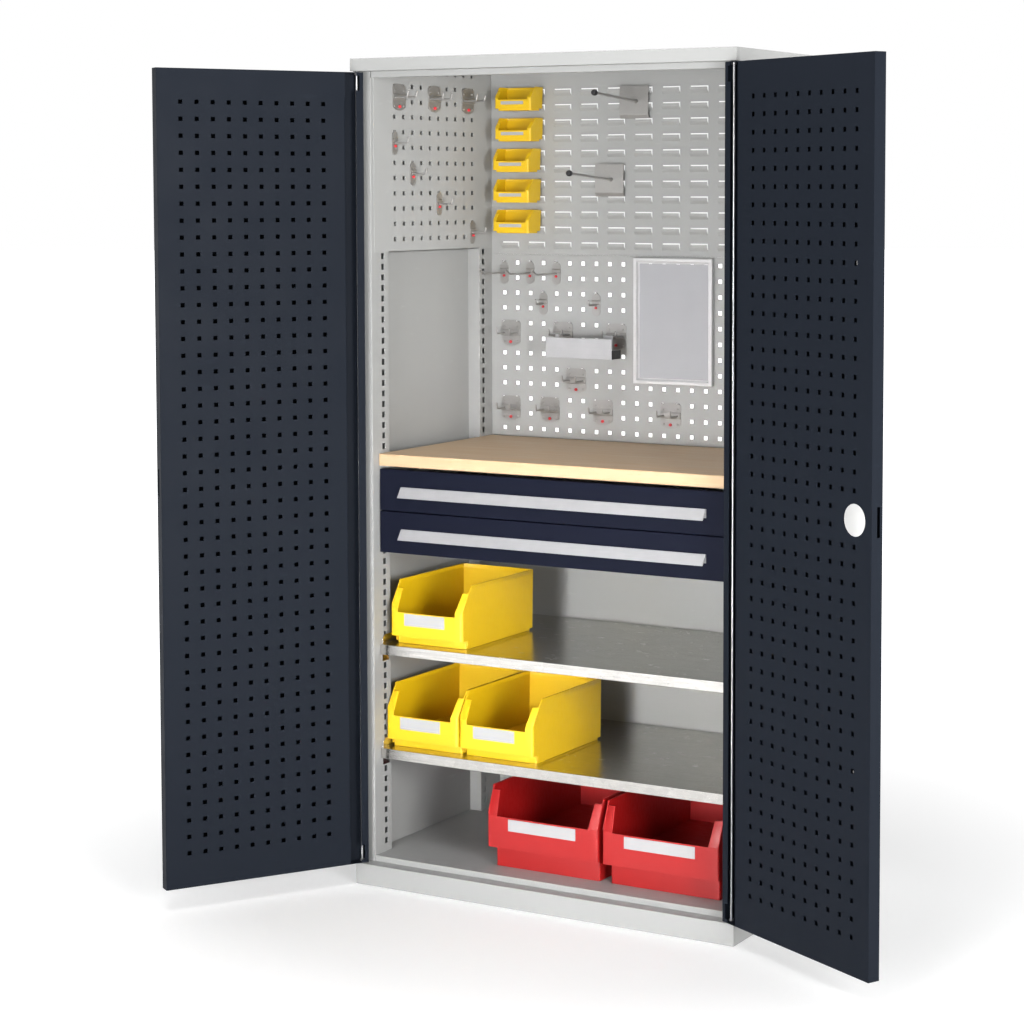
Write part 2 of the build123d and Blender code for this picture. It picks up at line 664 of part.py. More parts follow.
SIDE_DOUBLE = (Cell(0, 10), Cell(4, 10), Cell(8, 10))
SIDE_SINGLE = (Cell(0, 7), Cell(2, 5), Cell(5, 3), Cell(9, 1))
SIDE_HOOK_CELLS = {(c, r) for c, r in SIDE_DOUBLE} | {(c + 1, r) for c, r in SIDE_DOUBLE}
SIDE_HOOK_CELLS |= {(c, r) for c, r in SIDE_SINGLE}

BACK_LONG = (Cell(0, 0), Cell(2, 0), Cell(4, 0))
BACK_SHORT = (Cell(3, 2), Cell(7, 2))
TRAY_HOOKS = (Cell(4, 4), Cell(8, 4))
BACK_DOUBLE = (Cell(0, 4), Cell(5, 7), Cell(0, 9), Cell(3, 9), Cell(7, 9), Cell(12, 9)) + TRAY_HOOKS
BACK_HOOK_CELLS = {(c, r) for c, r in BACK_LONG + BACK_SHORT + BACK_DOUBLE}
BACK_HOOK_CELLS |= {(c + 1, r) for c, r in BACK_DOUBLE}


def prong(x, z, span):
    """Hooked lug that passes one square hole, on a wall facing -Y at y = 0."""
    lug = block(x - 3, x + 3, -1.5, SKIN + 0.6, z - 4, z + 4)
    return lug + block(x - 3, x + 3, SKIN + 0.6, SKIN + 2.4, z - 4, z + span)


class HookKind(NamedTuple):
    """Hook measured from its upper hole: plate outline, raised bead, rivet button, arms and their tips."""

    width: float
    top: float                  # crown of the plate
    shoulder: float             # ends of the upper arc
    hip: float                  # ends of the lower arc
    foot: float
    bead: tuple                 # lower and upper edge of the raised bead
    button_z: float
    button: float
    arm_z: float
    reach: float
    tip_out: float
    tip_up: float
    holes: tuple                # hole columns, in pitches


DOUBLE_HOOK = HookKind(56, 6, 0, -48, -58, (-34, -17), -48, 3.8, -26, 37, 3, 13, (0.0, 1.0))
SINGLE_HOOK = HookKind(24, 2, -8, -43, -54, (-26, -14), -33, 3.2, -26, 37, 3, 11, (0.0,))
LONG_HOOK = SINGLE_HOOK._replace(reach=98, tip_out=20, tip_up=11)


def hook(kind):
    """Domed plate with a bead, lugs in the holes, a rivet button and one bent arm for each hole."""
    half = kind.width / 2
    centre = PITCH * sum(kind.holes) / len(kind.holes)
    left, right = (-half, kind.shoulder), (half, kind.shoulder)
    low_right, low_left = (half, kind.hip), (-half, kind.hip)
    outline = Curve() + [
        ThreePointArc(left, (0, kind.top), right),
        Line(right, low_right),
        ThreePointArc(low_right, (0, kind.foot), low_left),
        Line(low_left, left),
    ]
    plate = extrude(Plane.XZ * (Pos(centre, 0) * make_face(outline)), HOOK_SHEET)
    low, high = kind.bead
    bead = block(centre - half, centre + half, -HOOK_SHEET - 1.6, -HOOK_SHEET + 0.2, low, high)
    plate += chamfer(bead.edges().filter_by(Axis.X).group_by(Axis.Y)[0], 1.5)
    button = Pos(centre, kind.button_z) * RegularPolygon(kind.button, 8)
    plate += extrude(Plane.XZ * button, HOOK_SHEET + 3.4)
    for column in kind.holes:
        x = PITCH * column
        end = -kind.reach
        plate += prong(x, 0, 8)
        points = [(x, -1.2, kind.arm_z), (x, end, kind.arm_z)]
        points.append((x, end - kind.tip_out, kind.arm_z + kind.tip_up))
        plate += wire_rod(points, 2.4)
    return plate


def on_back(shape, cell):
    """Move a hook to a raster cell of the back panel."""
    x = BACK_FIRST_X + PITCH * cell.column
    z = BACK_TOP_Z - PITCH * cell.row
    return Pos(x, BACK_PANEL_Y, z) * shape


def on_left(shape, cell):
    """Move a hook to a raster cell of the left side panel."""
    y = SIDE_FIRST_Y + PITCH * cell.column
    z = SIDE_BOTTOM_ROW_Z + SIDE_PITCH_Z * cell.row
    return Pos(-INNER_X + SKIN, y, z) * Rot(0, 0, 90) * shape


def side_hooks():
    """Double and single hooks on the left side panel."""
    doubles = group([on_left(hook(DOUBLE_HOOK), c) for c in SIDE_DOUBLE])
    singles = group([on_left(hook(SINGLE_HOOK), c) for c in SIDE_SINGLE])
    return doubles, singles


def back_hooks():
    """Long, short and double hooks on the back panel."""
    singles = [on_back(hook(LONG_HOOK), c) for c in BACK_LONG]
    singles += [on_back(hook(SINGLE_HOOK), c) for c in BACK_SHORT]
    doubles = [on_back(hook(DOUBLE_HOOK), c) for c in BACK_DOUBLE]
    return group(singles), group(doubles)


def louvre_lip(x0, x1, z_open):
    """Lip that hangs over one louvre: a bridge through its slit and a tab behind its tongue."""
    rim = z_open - LOUVRE_GAP
    back = BACK_PANEL_Y - LOUVRE_RISE - 2.4
    bridge = block(x0, x1, back - 0.5, back + 8.7, rim + 0.4, rim + 2.4)
    return bridge + block(x0, x1, back + 7.2, back + 8.7, rim - 5, rim + 1)


class Rod(NamedTuple):
    """Tool rod: left edge of its plate, slit height of its louvre and the ends of its lip."""

    x: float
    z_open: float
    lip: tuple


RODS = (Rod(-90, 1896, (-50, -12)), Rod(-159, 1706, (-126, -82)))
ROD_PLATE_W = 80.0
ROD_PLATE = ((2.2, 3), (0, -29), (0, -67), (5.6, -77))    # bends (depth, height) from its louvre's slit
ROD_ROOT = (46.0, -35.0)
ROD_TIP = (48.0, -21.0)         # end of the rod: depth in the cabinet, height from the slit
ROD_RADIUS = 3.0
KNOB_RADIUS = 7.4


def rod_holders():
    """Two knobbed rods on creased plates that hang on the louvres."""
    holders = []
    front = BACK_PANEL_Y - LOUVRE_RISE - 2.4 - SKIN
    for rod in RODS:
        bends = [(front + depth, rod.z_open + height) for depth, height in ROD_PLATE]
        plate = side_profile(folded(bends, SKIN), rod.x, rod.x + ROD_PLATE_W)
        plate += louvre_lip(*rod.lip, rod.z_open)
        x = rod.x + ROD_ROOT[0]
        tip = (x, ROD_TIP[0], rod.z_open + ROD_TIP[1])
        plate += wire_rod([(x, front + 1, rod.z_open + ROD_ROOT[1]), tip], ROD_RADIUS)
        knob = Pos(*tip) * Rot(90, 0, 0) * Cylinder(KNOB_RADIUS, 14)
        holders.append(plate + fillet(knob.edges().filter_by(GeomType.CIRCLE), 4))
    return group(holders)


TRAY_X = (-254.0, -68.7)
TRAY_Y = (176.0, 222.0)
TRAY_Z = (1233.5, 1283.5)
TRAY_BACK = 22.0                # height of the low back wall and of the end plates


def pen_tray():
    """Aluminium trough with end plates, hung by two flanges on the arms of two double hooks."""
    x0, x1 = TRAY_X
    y0, y1 = TRAY_Y
    z0, z1 = TRAY_Z
    points = [(y0, z1), (y0, z0), (y1, z0), (y1, z0 + TRAY_BACK)]
    tray = side_profile(folded(points, 1.5), x0, x1)
    for x in (x0, x1 - 2):
        tray += block(x, x + 2, y0 + 0.5, y1 - 0.5, z0 + 0.5, z0 + TRAY_BACK)
    for cell in TRAY_HOOKS:
        centre = BACK_FIRST_X + PITCH * (cell.column + 0.5)
        rest = BACK_TOP_Z - PITCH * cell.row + DOUBLE_HOOK.arm_z + 2.4
        strap0, strap1 = max(centre - 14, x0), min(centre + 14, x1)
        tray += block(strap0, strap1, y1 - 1.5, y1, z0 + 2, rest + 1.5)
        tray += block(strap0, strap1, y1 - 1, y1 + 9, rest, rest + 1.5)
        tray += block(centre - 24, centre + 24, y1 + 8, y1 + 26, rest, rest + 1.5)
    return tray


def drawing_board():
    """Aluminium frame of the drawing board with its backing sheet."""
    x0 = -50.0
    x1 = 166.0
    z0 = 1172.0
    z1 = 1480.0
    y1 = BACK_PANEL_Y - 2
    frame = block(x0, x1, y1 - 12, y1, z0, z1) - block(x0 + 14, x1 - 14, y1 - 14, y1 - 4, z0 + 14, z1 - 14)
    return chamfer([e for e in frame.edges() if e.center().Y < y1 - 11.9 and e.length > 290], 2)


def drawing_sheet():
    """Blank sheet held in the board's frame."""
    y1 = BACK_PANEL_Y - 6
    return block(-35.5, 151.5, y1 - 0.6, y1, 1186.5, 1465.5)


# ---------------------------------------------------------------- open-front bins
class Bin(NamedTuple):
    """Outer sizes of a stacking bin."""

    width: float
    depth: float
    height: float
    lip: float                  # height of the front wall
    low: float                  # height at which the sides start to slope back
    slope: float                # depth at which the sides reach full height
    post_top: float             # top of the front posts
    post: float                 # width of the front posts
    foot_h: float
    foot_in: float
    foot_back: float            # set-back of the foot at the front
    side_low: float             # height at which the side walls end, behind the foot's set-back
    wall: float
    label: tuple                # x0, x1, z0, z1 of the label recess


YELLOW_BIN = Bin(202, 322, 150, 78, 88, 40, 131, 21, 21, 4, 24, 6, 2.6, (-62, 51, 47, 75.5))
RED_BIN = Bin(296, 440, 191.5, 124, 125.5, 28, 180.5, 26, 50, 9, 25, 50, 3.0, (-91.5, 89, 93, 120.5))
HANGING_BIN = Bin(104, 60, 58, 27, 31, 22, 47, 10, 5, 4, 8, 5, 1.8, (-34, 31, 15, 23))
HANGING_BIN_RISE = 4.0          # rim of a hanging bin above its louvre's slit


def bin_posts(size):
    """Two front flanges that lean back with the sides."""
    w, t = size.width, size.wall
    lean = size.slope * (size.post_top - size.low) / (size.height - size.low)
    thick = 1.5 * t
    post = [(0, size.lip - 2), (0, size.low), (lean, size.post_top), (lean + thick, size.post_top)]
    post += [(thick, size.low), (thick, size.lip - 2)]
    face = make_face(Polyline(*post, close=True))
    right = side_profile(face, w / 2 - size.post, w / 2 - t / 2)
    return right + mirrored(right)


def bin_body(size):
    """Bin with its front at y = 0 and its foot on z = 0: tapered shell, foot, posts and rim."""
    w, d, h, t = size.width, size.depth, size.height, size.wall
    foot = size.foot_h
    inset = size.foot_in
    front = size.foot_back
    side = [(0, foot), (0, size.low), (size.slope, h), (d, h), (d - 4, size.side_low)]
    if size.side_low < foot:
        side += [(front, size.side_low), (front, foot)]
    shell = side_profile(make_face(Polyline(*side, close=True)), -w / 2, w / 2)
    shell += block(-w / 2 + inset, w / 2 - inset, front, d - inset - 4, 0, foot + 1)
    inner = [(t, foot + t), (t, h + 20), (d - t, h + 20), (d - t - 4, foot + t)]
    cavity = side_profile(make_face(Polyline(*inner, close=True)), -w / 2 + t, w / 2 - t)
    cavity += block(-w / 2 + inset + t, w / 2 - inset - t, front + t, d - inset - 4 - t, t, foot + t + 1)
    shell -= cavity
    shell -= block(-w / 2 + t, w / 2 - t, -1, t + 1, size.lip, h)
    shell += bin_posts(size)
    x0, x1, z0, z1 = size.label
    shell -= block(x0, x1, -1, t * 0.3, z0, z1)
    rim_h = max(5.0, h * 0.07)
    rim = 0.4 * t
    for sign in (-1, 1):
        shell += block(sign * (w / 2 - t / 2), sign * (w / 2 + rim), size.slope + 4, d, h - rim_h, h)
    shell += block(-w / 2 - rim, w / 2 + rim, d - t / 2, d + rim, h - rim_h, h)
    return shell


SHELF_BINS = (
    ("yellow_bin_upper_shelf", YELLOW_BIN, -345.5, -226.0, SHELF_Z[0]),
    ("yellow_bin_lower_shelf_left", YELLOW_BIN, -359.0, -226.0, SHELF_Z[1]),
    ("yellow_bin_lower_shelf_right", YELLOW_BIN, -154.0, -226.0, SHELF_Z[1]),
    ("red_bin_left", RED_BIN, -30.0, -224.5, FLOOR_TOP),
    ("red_bin_right", RED_BIN, 277.5, -224.5, FLOOR_TOP),
)
BIN_CLEARANCE = 0.4             # bins are separate bodies, so they stand this far off the sheet


def hanging_bins():
    """Five small bins, each hung on a louvre by a lip at its back."""
    bins = []
    louvre_x = BACK_FIRST_X + 2.5 * PITCH
    for row in range(5):
        x = -360.0 if row < 2 else -366.5
        z_open = LOUVRE_BOTTOM_Z + PITCH * (10 - 2 * row)
        y = BACK_PANEL_Y - LOUVRE_RISE - 2.4 - HANGING_BIN.depth
        body = Pos(x, y, z_open + HANGING_BIN_RISE - HANGING_BIN.height) * bin_body(HANGING_BIN)
        bins.append(body + louvre_lip(louvre_x - 20, louvre_x + 14, z_open))
    return group(bins)


# ---------------------------------------------------------------- build
def build_all():
    """Every node by name."""
    nodes = {}
    nodes["plinth"] = plinth()
    nodes["floor_panel"] = floor_panel()
    nodes["top_cap"] = top_cap()
    nodes["header_rail"] = header_rail()
    for name, sign in (("left", -1), ("right", 1)):
        nodes[f"{name}_side_wall"] = side_wall(sign)
        nodes[f"{name}_uprights"] = uprights(sign)
        nodes[f"{name}_side_hook_panel"] = side_hook_panel(sign)
    nodes["louvred_back_panel"] = louvred_back_panel()
    nodes["perforated_back_panel"] = perforated_back_panel()
    nodes["lower_back_panel"] = lower_back_panel()
    nodes["worktop"] = worktop()
    nodes["worktop_bearers"] = worktop_bearers()
    nodes["drawer_side_plates"] = drawer_side_plates()
    nodes["runner_outer_members"] = group(runner_outer(0) + runner_outer(1))
    for label, level in (("upper", 1), ("lower", 0)):
        nodes[f"{label}_drawer_box"] = drawer_box(level)
        nodes[f"{label}_drawer_front"] = drawer_front(level)
        nodes[f"{label}_drawer_handle"] = drawer_handle(level)
        nodes[f"{label}_runner_middle_members"] = runner_middle(level)
    nodes["upper_shelf"] = shelf(SHELF_Z[0])
    nodes["lower_shelf"] = shelf(SHELF_Z[1])
    nodes["shelf_brackets"] = shelf_brackets()
    nodes["hinge_bushes"] = hinge_bushes()
    for name, sign in (("left", -1), ("right", 1)):
        nodes[f"{name}_door_pan"] = swung(door_pan(sign > 0), sign)
        nodes[f"{name}_door_hook_plate"] = swung(door_plate(sign > 0), sign)
        nodes[f"{name}_hinge_rod"] = swung(hinge_rod(), sign)
    nodes["lock_body"] = swung(lock_body(), 1)
    nodes["lock_knob"] = swung(lock_knob(), 1)
    nodes["lock_cam"] = swung(lock_cam(), 1)
    nodes["upper_lock_bar"] = swung(lock_bar(1), 1)
    nodes["lower_lock_bar"] = swung(lock_bar(-1), 1)
    nodes["lock_bar_guides"] = swung(bar_guides(), 1)
    nodes["lock_cover"] = swung(lock_cover(), 1)
    nodes["side_double_hooks"], nodes["side_single_hooks"] = side_hooks()
    nodes["back_single_hooks"], nodes["back_double_hooks"] = back_hooks()
    nodes["rod_tool_holders"] = rod_holders()
    nodes["pen_tray"] = pen_tray()
    nodes["drawing_board_frame"] = drawing_board()
    nodes["drawing_sheet"] = drawing_sheet()
    nodes["hanging_bins"] = hanging_bins()
    for name, size, x, y, z in SHELF_BINS:
        nodes[name] = Pos(x, y, z + BIN_CLEARANCE) * bin_body(size)
    return nodes


os.makedirs("parts", exist_ok=True)
for node_name, node_shape in build_all().items():
    save(node_name, node_shape)
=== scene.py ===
"""Looks of a double-door tool cabinet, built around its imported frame.

Sizes are millimetres in the classes and metres in the meshes. The cabinet faces -Y, +X is its
right-hand side and +Z is up.
"""

import json
import logging
import math
from dataclasses import dataclass, field, replace
from enum import Enum

import bmesh
import bpy
import numpy as np
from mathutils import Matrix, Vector


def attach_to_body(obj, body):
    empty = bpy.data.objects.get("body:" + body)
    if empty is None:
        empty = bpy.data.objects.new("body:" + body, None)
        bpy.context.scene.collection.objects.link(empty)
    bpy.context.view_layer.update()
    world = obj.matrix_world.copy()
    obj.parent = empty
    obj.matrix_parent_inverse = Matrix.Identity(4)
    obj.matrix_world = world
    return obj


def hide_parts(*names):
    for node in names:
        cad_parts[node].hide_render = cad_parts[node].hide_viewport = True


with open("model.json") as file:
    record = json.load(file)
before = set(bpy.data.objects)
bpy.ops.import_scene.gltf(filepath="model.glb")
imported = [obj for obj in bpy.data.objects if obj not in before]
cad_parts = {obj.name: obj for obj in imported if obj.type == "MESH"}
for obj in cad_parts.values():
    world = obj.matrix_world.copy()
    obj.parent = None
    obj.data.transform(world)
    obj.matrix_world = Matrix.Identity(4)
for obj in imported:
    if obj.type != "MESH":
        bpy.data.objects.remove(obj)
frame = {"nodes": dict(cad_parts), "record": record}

LOG = logging.getLogger("tool_cabinet")
MM = 0.001
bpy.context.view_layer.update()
Array = np.ndarray
Colour = tuple[float, float, float]
Point = tuple[float, float, float]
Span = tuple[float, float]
Socket = bpy.types.NodeSocket
Piece = bpy.types.Object

PITCH = 38.0
SIDE_PITCH = 36.2
SQUARE = 10.0
PANEL_Y = 264.0
HALF_INSIDE = 465.0
BACK_FIRST = (-427.0, 1463.0)
SIDE_FIRST = (-170.0, 1529.0)
LOUVRE_FIRST = (-408.0, 1516.0)
HUNG_BACK = 254.6
TOWARDS_FRONT = np.array([0.0, -1.0, 0.0])
TOWARDS_RIGHT = np.array([1.0, 0.0, 0.0])


# ------------------------------------------------------------------ frame lookups
def node_bodies() -> dict[str, str]:
    """Body that each CAD node belongs to."""
    groups = frame["record"]["behaviour"]["bodies"]
    return {node: body for body, nodes in groups.items() for node in nodes}


BODY_OF = node_bodies()


# ------------------------------------------------------------------ shapes
@dataclass
class Shape:
    """Points in millimetres and the faces between them."""

    points: Array = field(default_factory=lambda: np.zeros((0, 3)))
    faces: list[list[int]] = field(default_factory=list)

    def joined(self, *others: "Shape") -> "Shape":
        """This shape and others as one.

        Args:
            others: shapes to add.
        Returns:
            A new shape with the points stacked and the faces renumbered.
        """
        points = [self.points]
        faces = list(self.faces)
        count = len(self.points)
        for other in others:
            points.append(other.points)
            faces += [[i + count for i in face] for face in other.faces]
            count += len(other.points)
        return Shape(np.concatenate(points), faces)

    def moved(self, dx: float = 0.0, dy: float = 0.0, dz: float = 0.0) -> "Shape":
        """Copy moved by an offset."""
        return Shape(self.points + np.array([dx, dy, dz]), self.faces)

    def mirrored(self) -> "Shape":
        """Twin on the other side of the cabinet: x changes sign and every face turns round."""
        return Shape(self.points * np.array([-1.0, 1.0, 1.0]), [face[::-1] for face in self.faces])

    def turned_about_z(self, degrees: float, centre: Span) -> "Shape":
        """Copy rotated about an upright axis.

        Args:
            degrees: angle, counter-clockwise from above.
            centre: x and y of the axis.
        Returns:
            The rotated shape: (x, y) turns by the plane rotation, z stays.
        """
        a = math.radians(degrees)
        turn = np.array([[math.cos(a), math.sin(a)], [-math.sin(a), math.cos(a)]])
        points = self.points.copy()
        points[:, :2] = (points[:, :2] - np.array(centre)) @ turn + np.array(centre)
        return Shape(points, self.faces)


def merged(shapes: list[Shape]) -> Shape:
    """All the shapes as one."""
    return shapes[0].joined(*shapes[1:])


def eased_corners(points: Array, radius: float, steps: int = 4) -> Array:
    """Polyline with its inner corners rounded.

    Between a point a before the corner c and a point b after it, both `radius` away, the curve is
    the quadratic (1-t)^2 a + 2t(1-t) c + t^2 b.

    Args:
        points: corners, one row each, in two or three dimensions.
        radius: distance from corner to the start of its curve.
        steps: pieces in each curve.
    Returns:
        The rows of the rounded path.
    """
    points = np.asarray(points, float)
    corner = points[1:-1]
    before = points[:-2] - corner
    after = points[2:] - corner
    room = 0.49 * np.minimum(np.linalg.norm(before, axis=1), np.linalg.norm(after, axis=1))
    reach = np.minimum(radius, room)[:, None]
    a = corner + before / np.linalg.norm(before, axis=1)[:, None] * reach
    b = corner + after / np.linalg.norm(after, axis=1)[:, None] * reach
    t = np.linspace(0, 1, steps + 1)[None, :, None]
    curve = (1 - t) ** 2 * a[:, None] + 2 * t * (1 - t) * corner[:, None] + t**2 * b[:, None]
    return np.concatenate([points[:1], curve.reshape(-1, points.shape[1]), points[-1:]])


def eased_loop(points: Array, radius: float, steps: int = 4) -> Array:
    """Closed outline with every corner rounded, by the same quadratic as eased_corners."""
    points = np.asarray(points, float)
    around = np.concatenate([points[-1:], points, points[:1]])
    return eased_corners(around, radius, steps)[1:-1]


def sheet_outline(points: Array, thickness: float, radius: float) -> Array:
    """Section of a folded sheet as a closed outline.

    The folded line is rounded, then copied sideways to its left by the thickness along the mean
    normal of the two runs that meet at each point.

    Args:
        points: fold line as (u, v) rows.
        thickness: sheet thickness; negative puts it to the right.
        radius: inside reach of each bend.
    Returns:
        Closed outline, near side first.
    """
    path = eased_corners(np.asarray(points, float), radius)
    run = np.diff(path, axis=0)
    keep = np.concatenate([[True], np.linalg.norm(run, axis=1) > 1e-6])
    path = path[keep]
    run = np.diff(path, axis=0)
    run /= np.linalg.norm(run, axis=1)[:, None]
    first = np.concatenate([run[:1], run])
    last = np.concatenate([run, run[-1:]])
    mean = first + last
    mean /= np.linalg.norm(mean, axis=1)[:, None]
    normal = np.stack([-mean[:, 1], mean[:, 0]], axis=1)
    stretch = 1.0 / np.maximum(0.5, (mean * first).sum(axis=1))
    return np.concatenate([path, (path + normal * (thickness * stretch)[:, None])[::-1]])


def loft(rings: Array, capped: bool = True) -> Shape:
    """Skin over a row of closed rings with the same number of points.

    Point (i, j) joins (i, j+1), (i+1, j+1) and (i+1, j), with j running round the ring.

    Args:
        rings: array of shape (rings, points, 3).
        capped: whether the first and last ring are closed.
    Returns:
        The skin.
    """
    count, size = rings.shape[:2]
    index = np.arange(count * size).reshape(count, size)
    a, b = index[:-1], index[1:]
    quads = np.stack([a, np.roll(a, -1, 1), np.roll(b, -1, 1), b], -1).reshape(-1, 4)
    faces = quads.tolist()
    if capped:
        faces += [index[0][::-1].tolist(), index[-1].tolist()]
    return Shape(rings.reshape(-1, 3), faces)


class Axis(Enum):
    """Direction along which an outline is drawn out; the value names the outline's two axes."""

    X = (1, 2, 0)
    Y = (0, 2, 1)
    Z = (0, 1, 2)


def prism(outline: Array, axis: Axis, low: float, high: float) -> Shape:
    """Outline drawn out along an axis.

    Args:
        outline: closed outline as (u, v) rows.
        axis: direction; u and v are the other two coordinates in order.
        low: start along the axis.
        high: end along the axis.
    Returns:
        Two rings joined by straight sides.
    """
    u, v, w = axis.value
    rings = np.zeros((2, len(outline), 3))
    rings[:, :, u] = outline[:, 0]
    rings[:, :, v] = outline[:, 1]
    rings[0, :, w] = low
    rings[1, :, w] = high
    return loft(rings)


def rectangle(u: Span, v: Span) -> Array:
    """Corners of a rectangle, anticlockwise from the lower left."""
    return np.array([[u[0], v[0]], [u[1], v[0]], [u[1], v[1]], [u[0], v[1]]])


def box(x: Span, y: Span, z: Span) -> Shape:
    """Plain block between two corners."""
    return prism(rectangle(x, y), Axis.Z, *z)


def wire(path: Array, radius: float, bend: float, across: Array, sides: int = 10) -> Shape:
    """Round wire along a bent path, with domed ends.

    Ring i is the circle p_i + r_i (cos a * side_i + sin a * up_i), where side_i is at a right
    angle to the path and to up_i; r_i falls to nothing over the last radius.

    Args:
        path: corner points of the wire.
        radius: wire radius.
        bend: reach of each bend.
        across: direction at a right angle to the plane of the wire.
        sides: points round the wire.
    Returns:
        Closed tube.
    """
    line = eased_corners(np.asarray(path, float), bend, 5)
    head = (line[1] - line[0]) / np.linalg.norm(line[1] - line[0])
    tail = (line[-1] - line[-2]) / np.linalg.norm(line[-1] - line[-2])
    dome = np.array([1.0, 0.7, 0.3])
    shrink = np.array([0.08, 0.72, 0.96])
    start = line[0] - head * (dome * radius)[:, None]
    end = (line[-1] + tail * (dome * radius)[:, None])[::-1]
    line = np.concatenate([start, line, end])
    size = np.concatenate([shrink, np.ones(len(line) - 6), shrink[::-1]]) * radius
    tangent = np.gradient(line, axis=0)
    tangent /= np.linalg.norm(tangent, axis=1)[:, None]
    side = np.cross(tangent, np.asarray(across, float))
    side /= np.linalg.norm(side, axis=1)[:, None]
    up = np.cross(side, tangent)
    angle = np.linspace(0, 2 * np.pi, sides, endpoint=False)
    circle = np.cos(angle)[None, :, None] * side[:, None] + np.sin(angle)[None, :, None] * up[:, None]
    return loft(line[:, None] + circle * size[:, None, None])


def turned(profile: Array, centre: Array, axis: Array, sides: int = 32) -> Shape:
    """Solid of revolution: each (radius, height) row becomes a circle about the axis.

    Args:
        profile: rows of radius and height; the first and last circle are closed.
        centre: point on the axis at height nought.
        axis: direction of the axis.
        sides: points round each circle.
    Returns:
        Closed solid.
    """
    profile = np.asarray(profile, float)
    axis = np.asarray(axis, float) / np.linalg.norm(axis)
    helper = np.array([0.0, 0.0, 1.0]) if abs(axis[2]) < 0.9 else np.array([1.0, 0.0, 0.0])
    side = np.cross(helper, axis)
    side /= np.linalg.norm(side)
    up = np.cross(axis, side)
    angle = np.linspace(0, 2 * np.pi, sides, endpoint=False)
    circle = np.cos(angle)[:, None] * side + np.sin(angle)[:, None] * up
    heights = profile[:, 1, None, None] * axis
    return loft(np.asarray(centre, float) + heights + profile[:, 0, None, None] * circle[None])


@dataclass(frozen=True)
class Plane:
    """Where a flat sheet lies: its corner, its two directions and the way its thickness goes."""

    corner: Point
    u: Point
    v: Point
    w: Point

    def at(self, u: Array, v: Array, w: float) -> Array:
        """Points corner + u*U + v*V + w*W."""
        grid = u[..., None] * np.array(self.u) + v[..., None] * np.array(self.v)
        return np.array(self.corner) + grid + w * np.array(self.w)


def breaks(start: float, centres: Array, size: float, end: float) -> Array:
    """Grid lines of one direction: the two ends and both sides of every hole."""
    sides = np.asarray(centres, float)[:, None] + np.array([-size / 2, size / 2])
    return np.concatenate([[start], sides.ravel(), [end]])


def pierced_sheet(u: Array, v: Array, keep: Array, thickness: float, plane: Plane) -> Shape:
    """Flat sheet with a raster of square-cornered holes.

    The sheet is a grid of cells between break lines; cells at odd places in both directions are
    holes. Each kept cell gives a face on both sides, and each line between a kept and an open
    cell gives a wall.

    Args:
        u: break lines along the plane's first direction.
        v: break lines along its second direction.
        keep: raster of flags, columns by rows; a true hole is left closed.
        thickness: sheet thickness.
        plane: where the sheet lies.
    Returns:
        Closed sheet.
    """
    solid = np.ones((len(u) - 1, len(v) - 1), bool)
    solid[1::2, 1::2] = keep
    grid_u, grid_v = np.meshgrid(u, v, indexing="ij")
    points = np.concatenate([plane.at(grid_u, grid_v, w).reshape(-1, 3) for w in (0.0, thickness)])
    index = np.arange(len(u) * len(v)).reshape(len(u), len(v))
    back = index.size
    quad = np.stack([index[:-1, :-1], index[1:, :-1], index[1:, 1:], index[:-1, 1:]], -1)
    faces = [quad[solid], quad[solid][:, ::-1] + back]
    edge = np.pad(solid, 1)
    i, j = np.nonzero(edge[:-1, 1:-1] != edge[1:, 1:-1])
    a, b = index[i, j], index[i, j + 1]
    faces.append(np.stack([a, b, b + back, a + back], -1))
    i, j = np.nonzero(edge[1:-1, :-1] != edge[1:-1, 1:])
    a, b = index[i, j], index[i + 1, j]
    faces.append(np.stack([a, b, b + back, a + back], -1))
    return Shape(points, np.concatenate(faces).tolist())


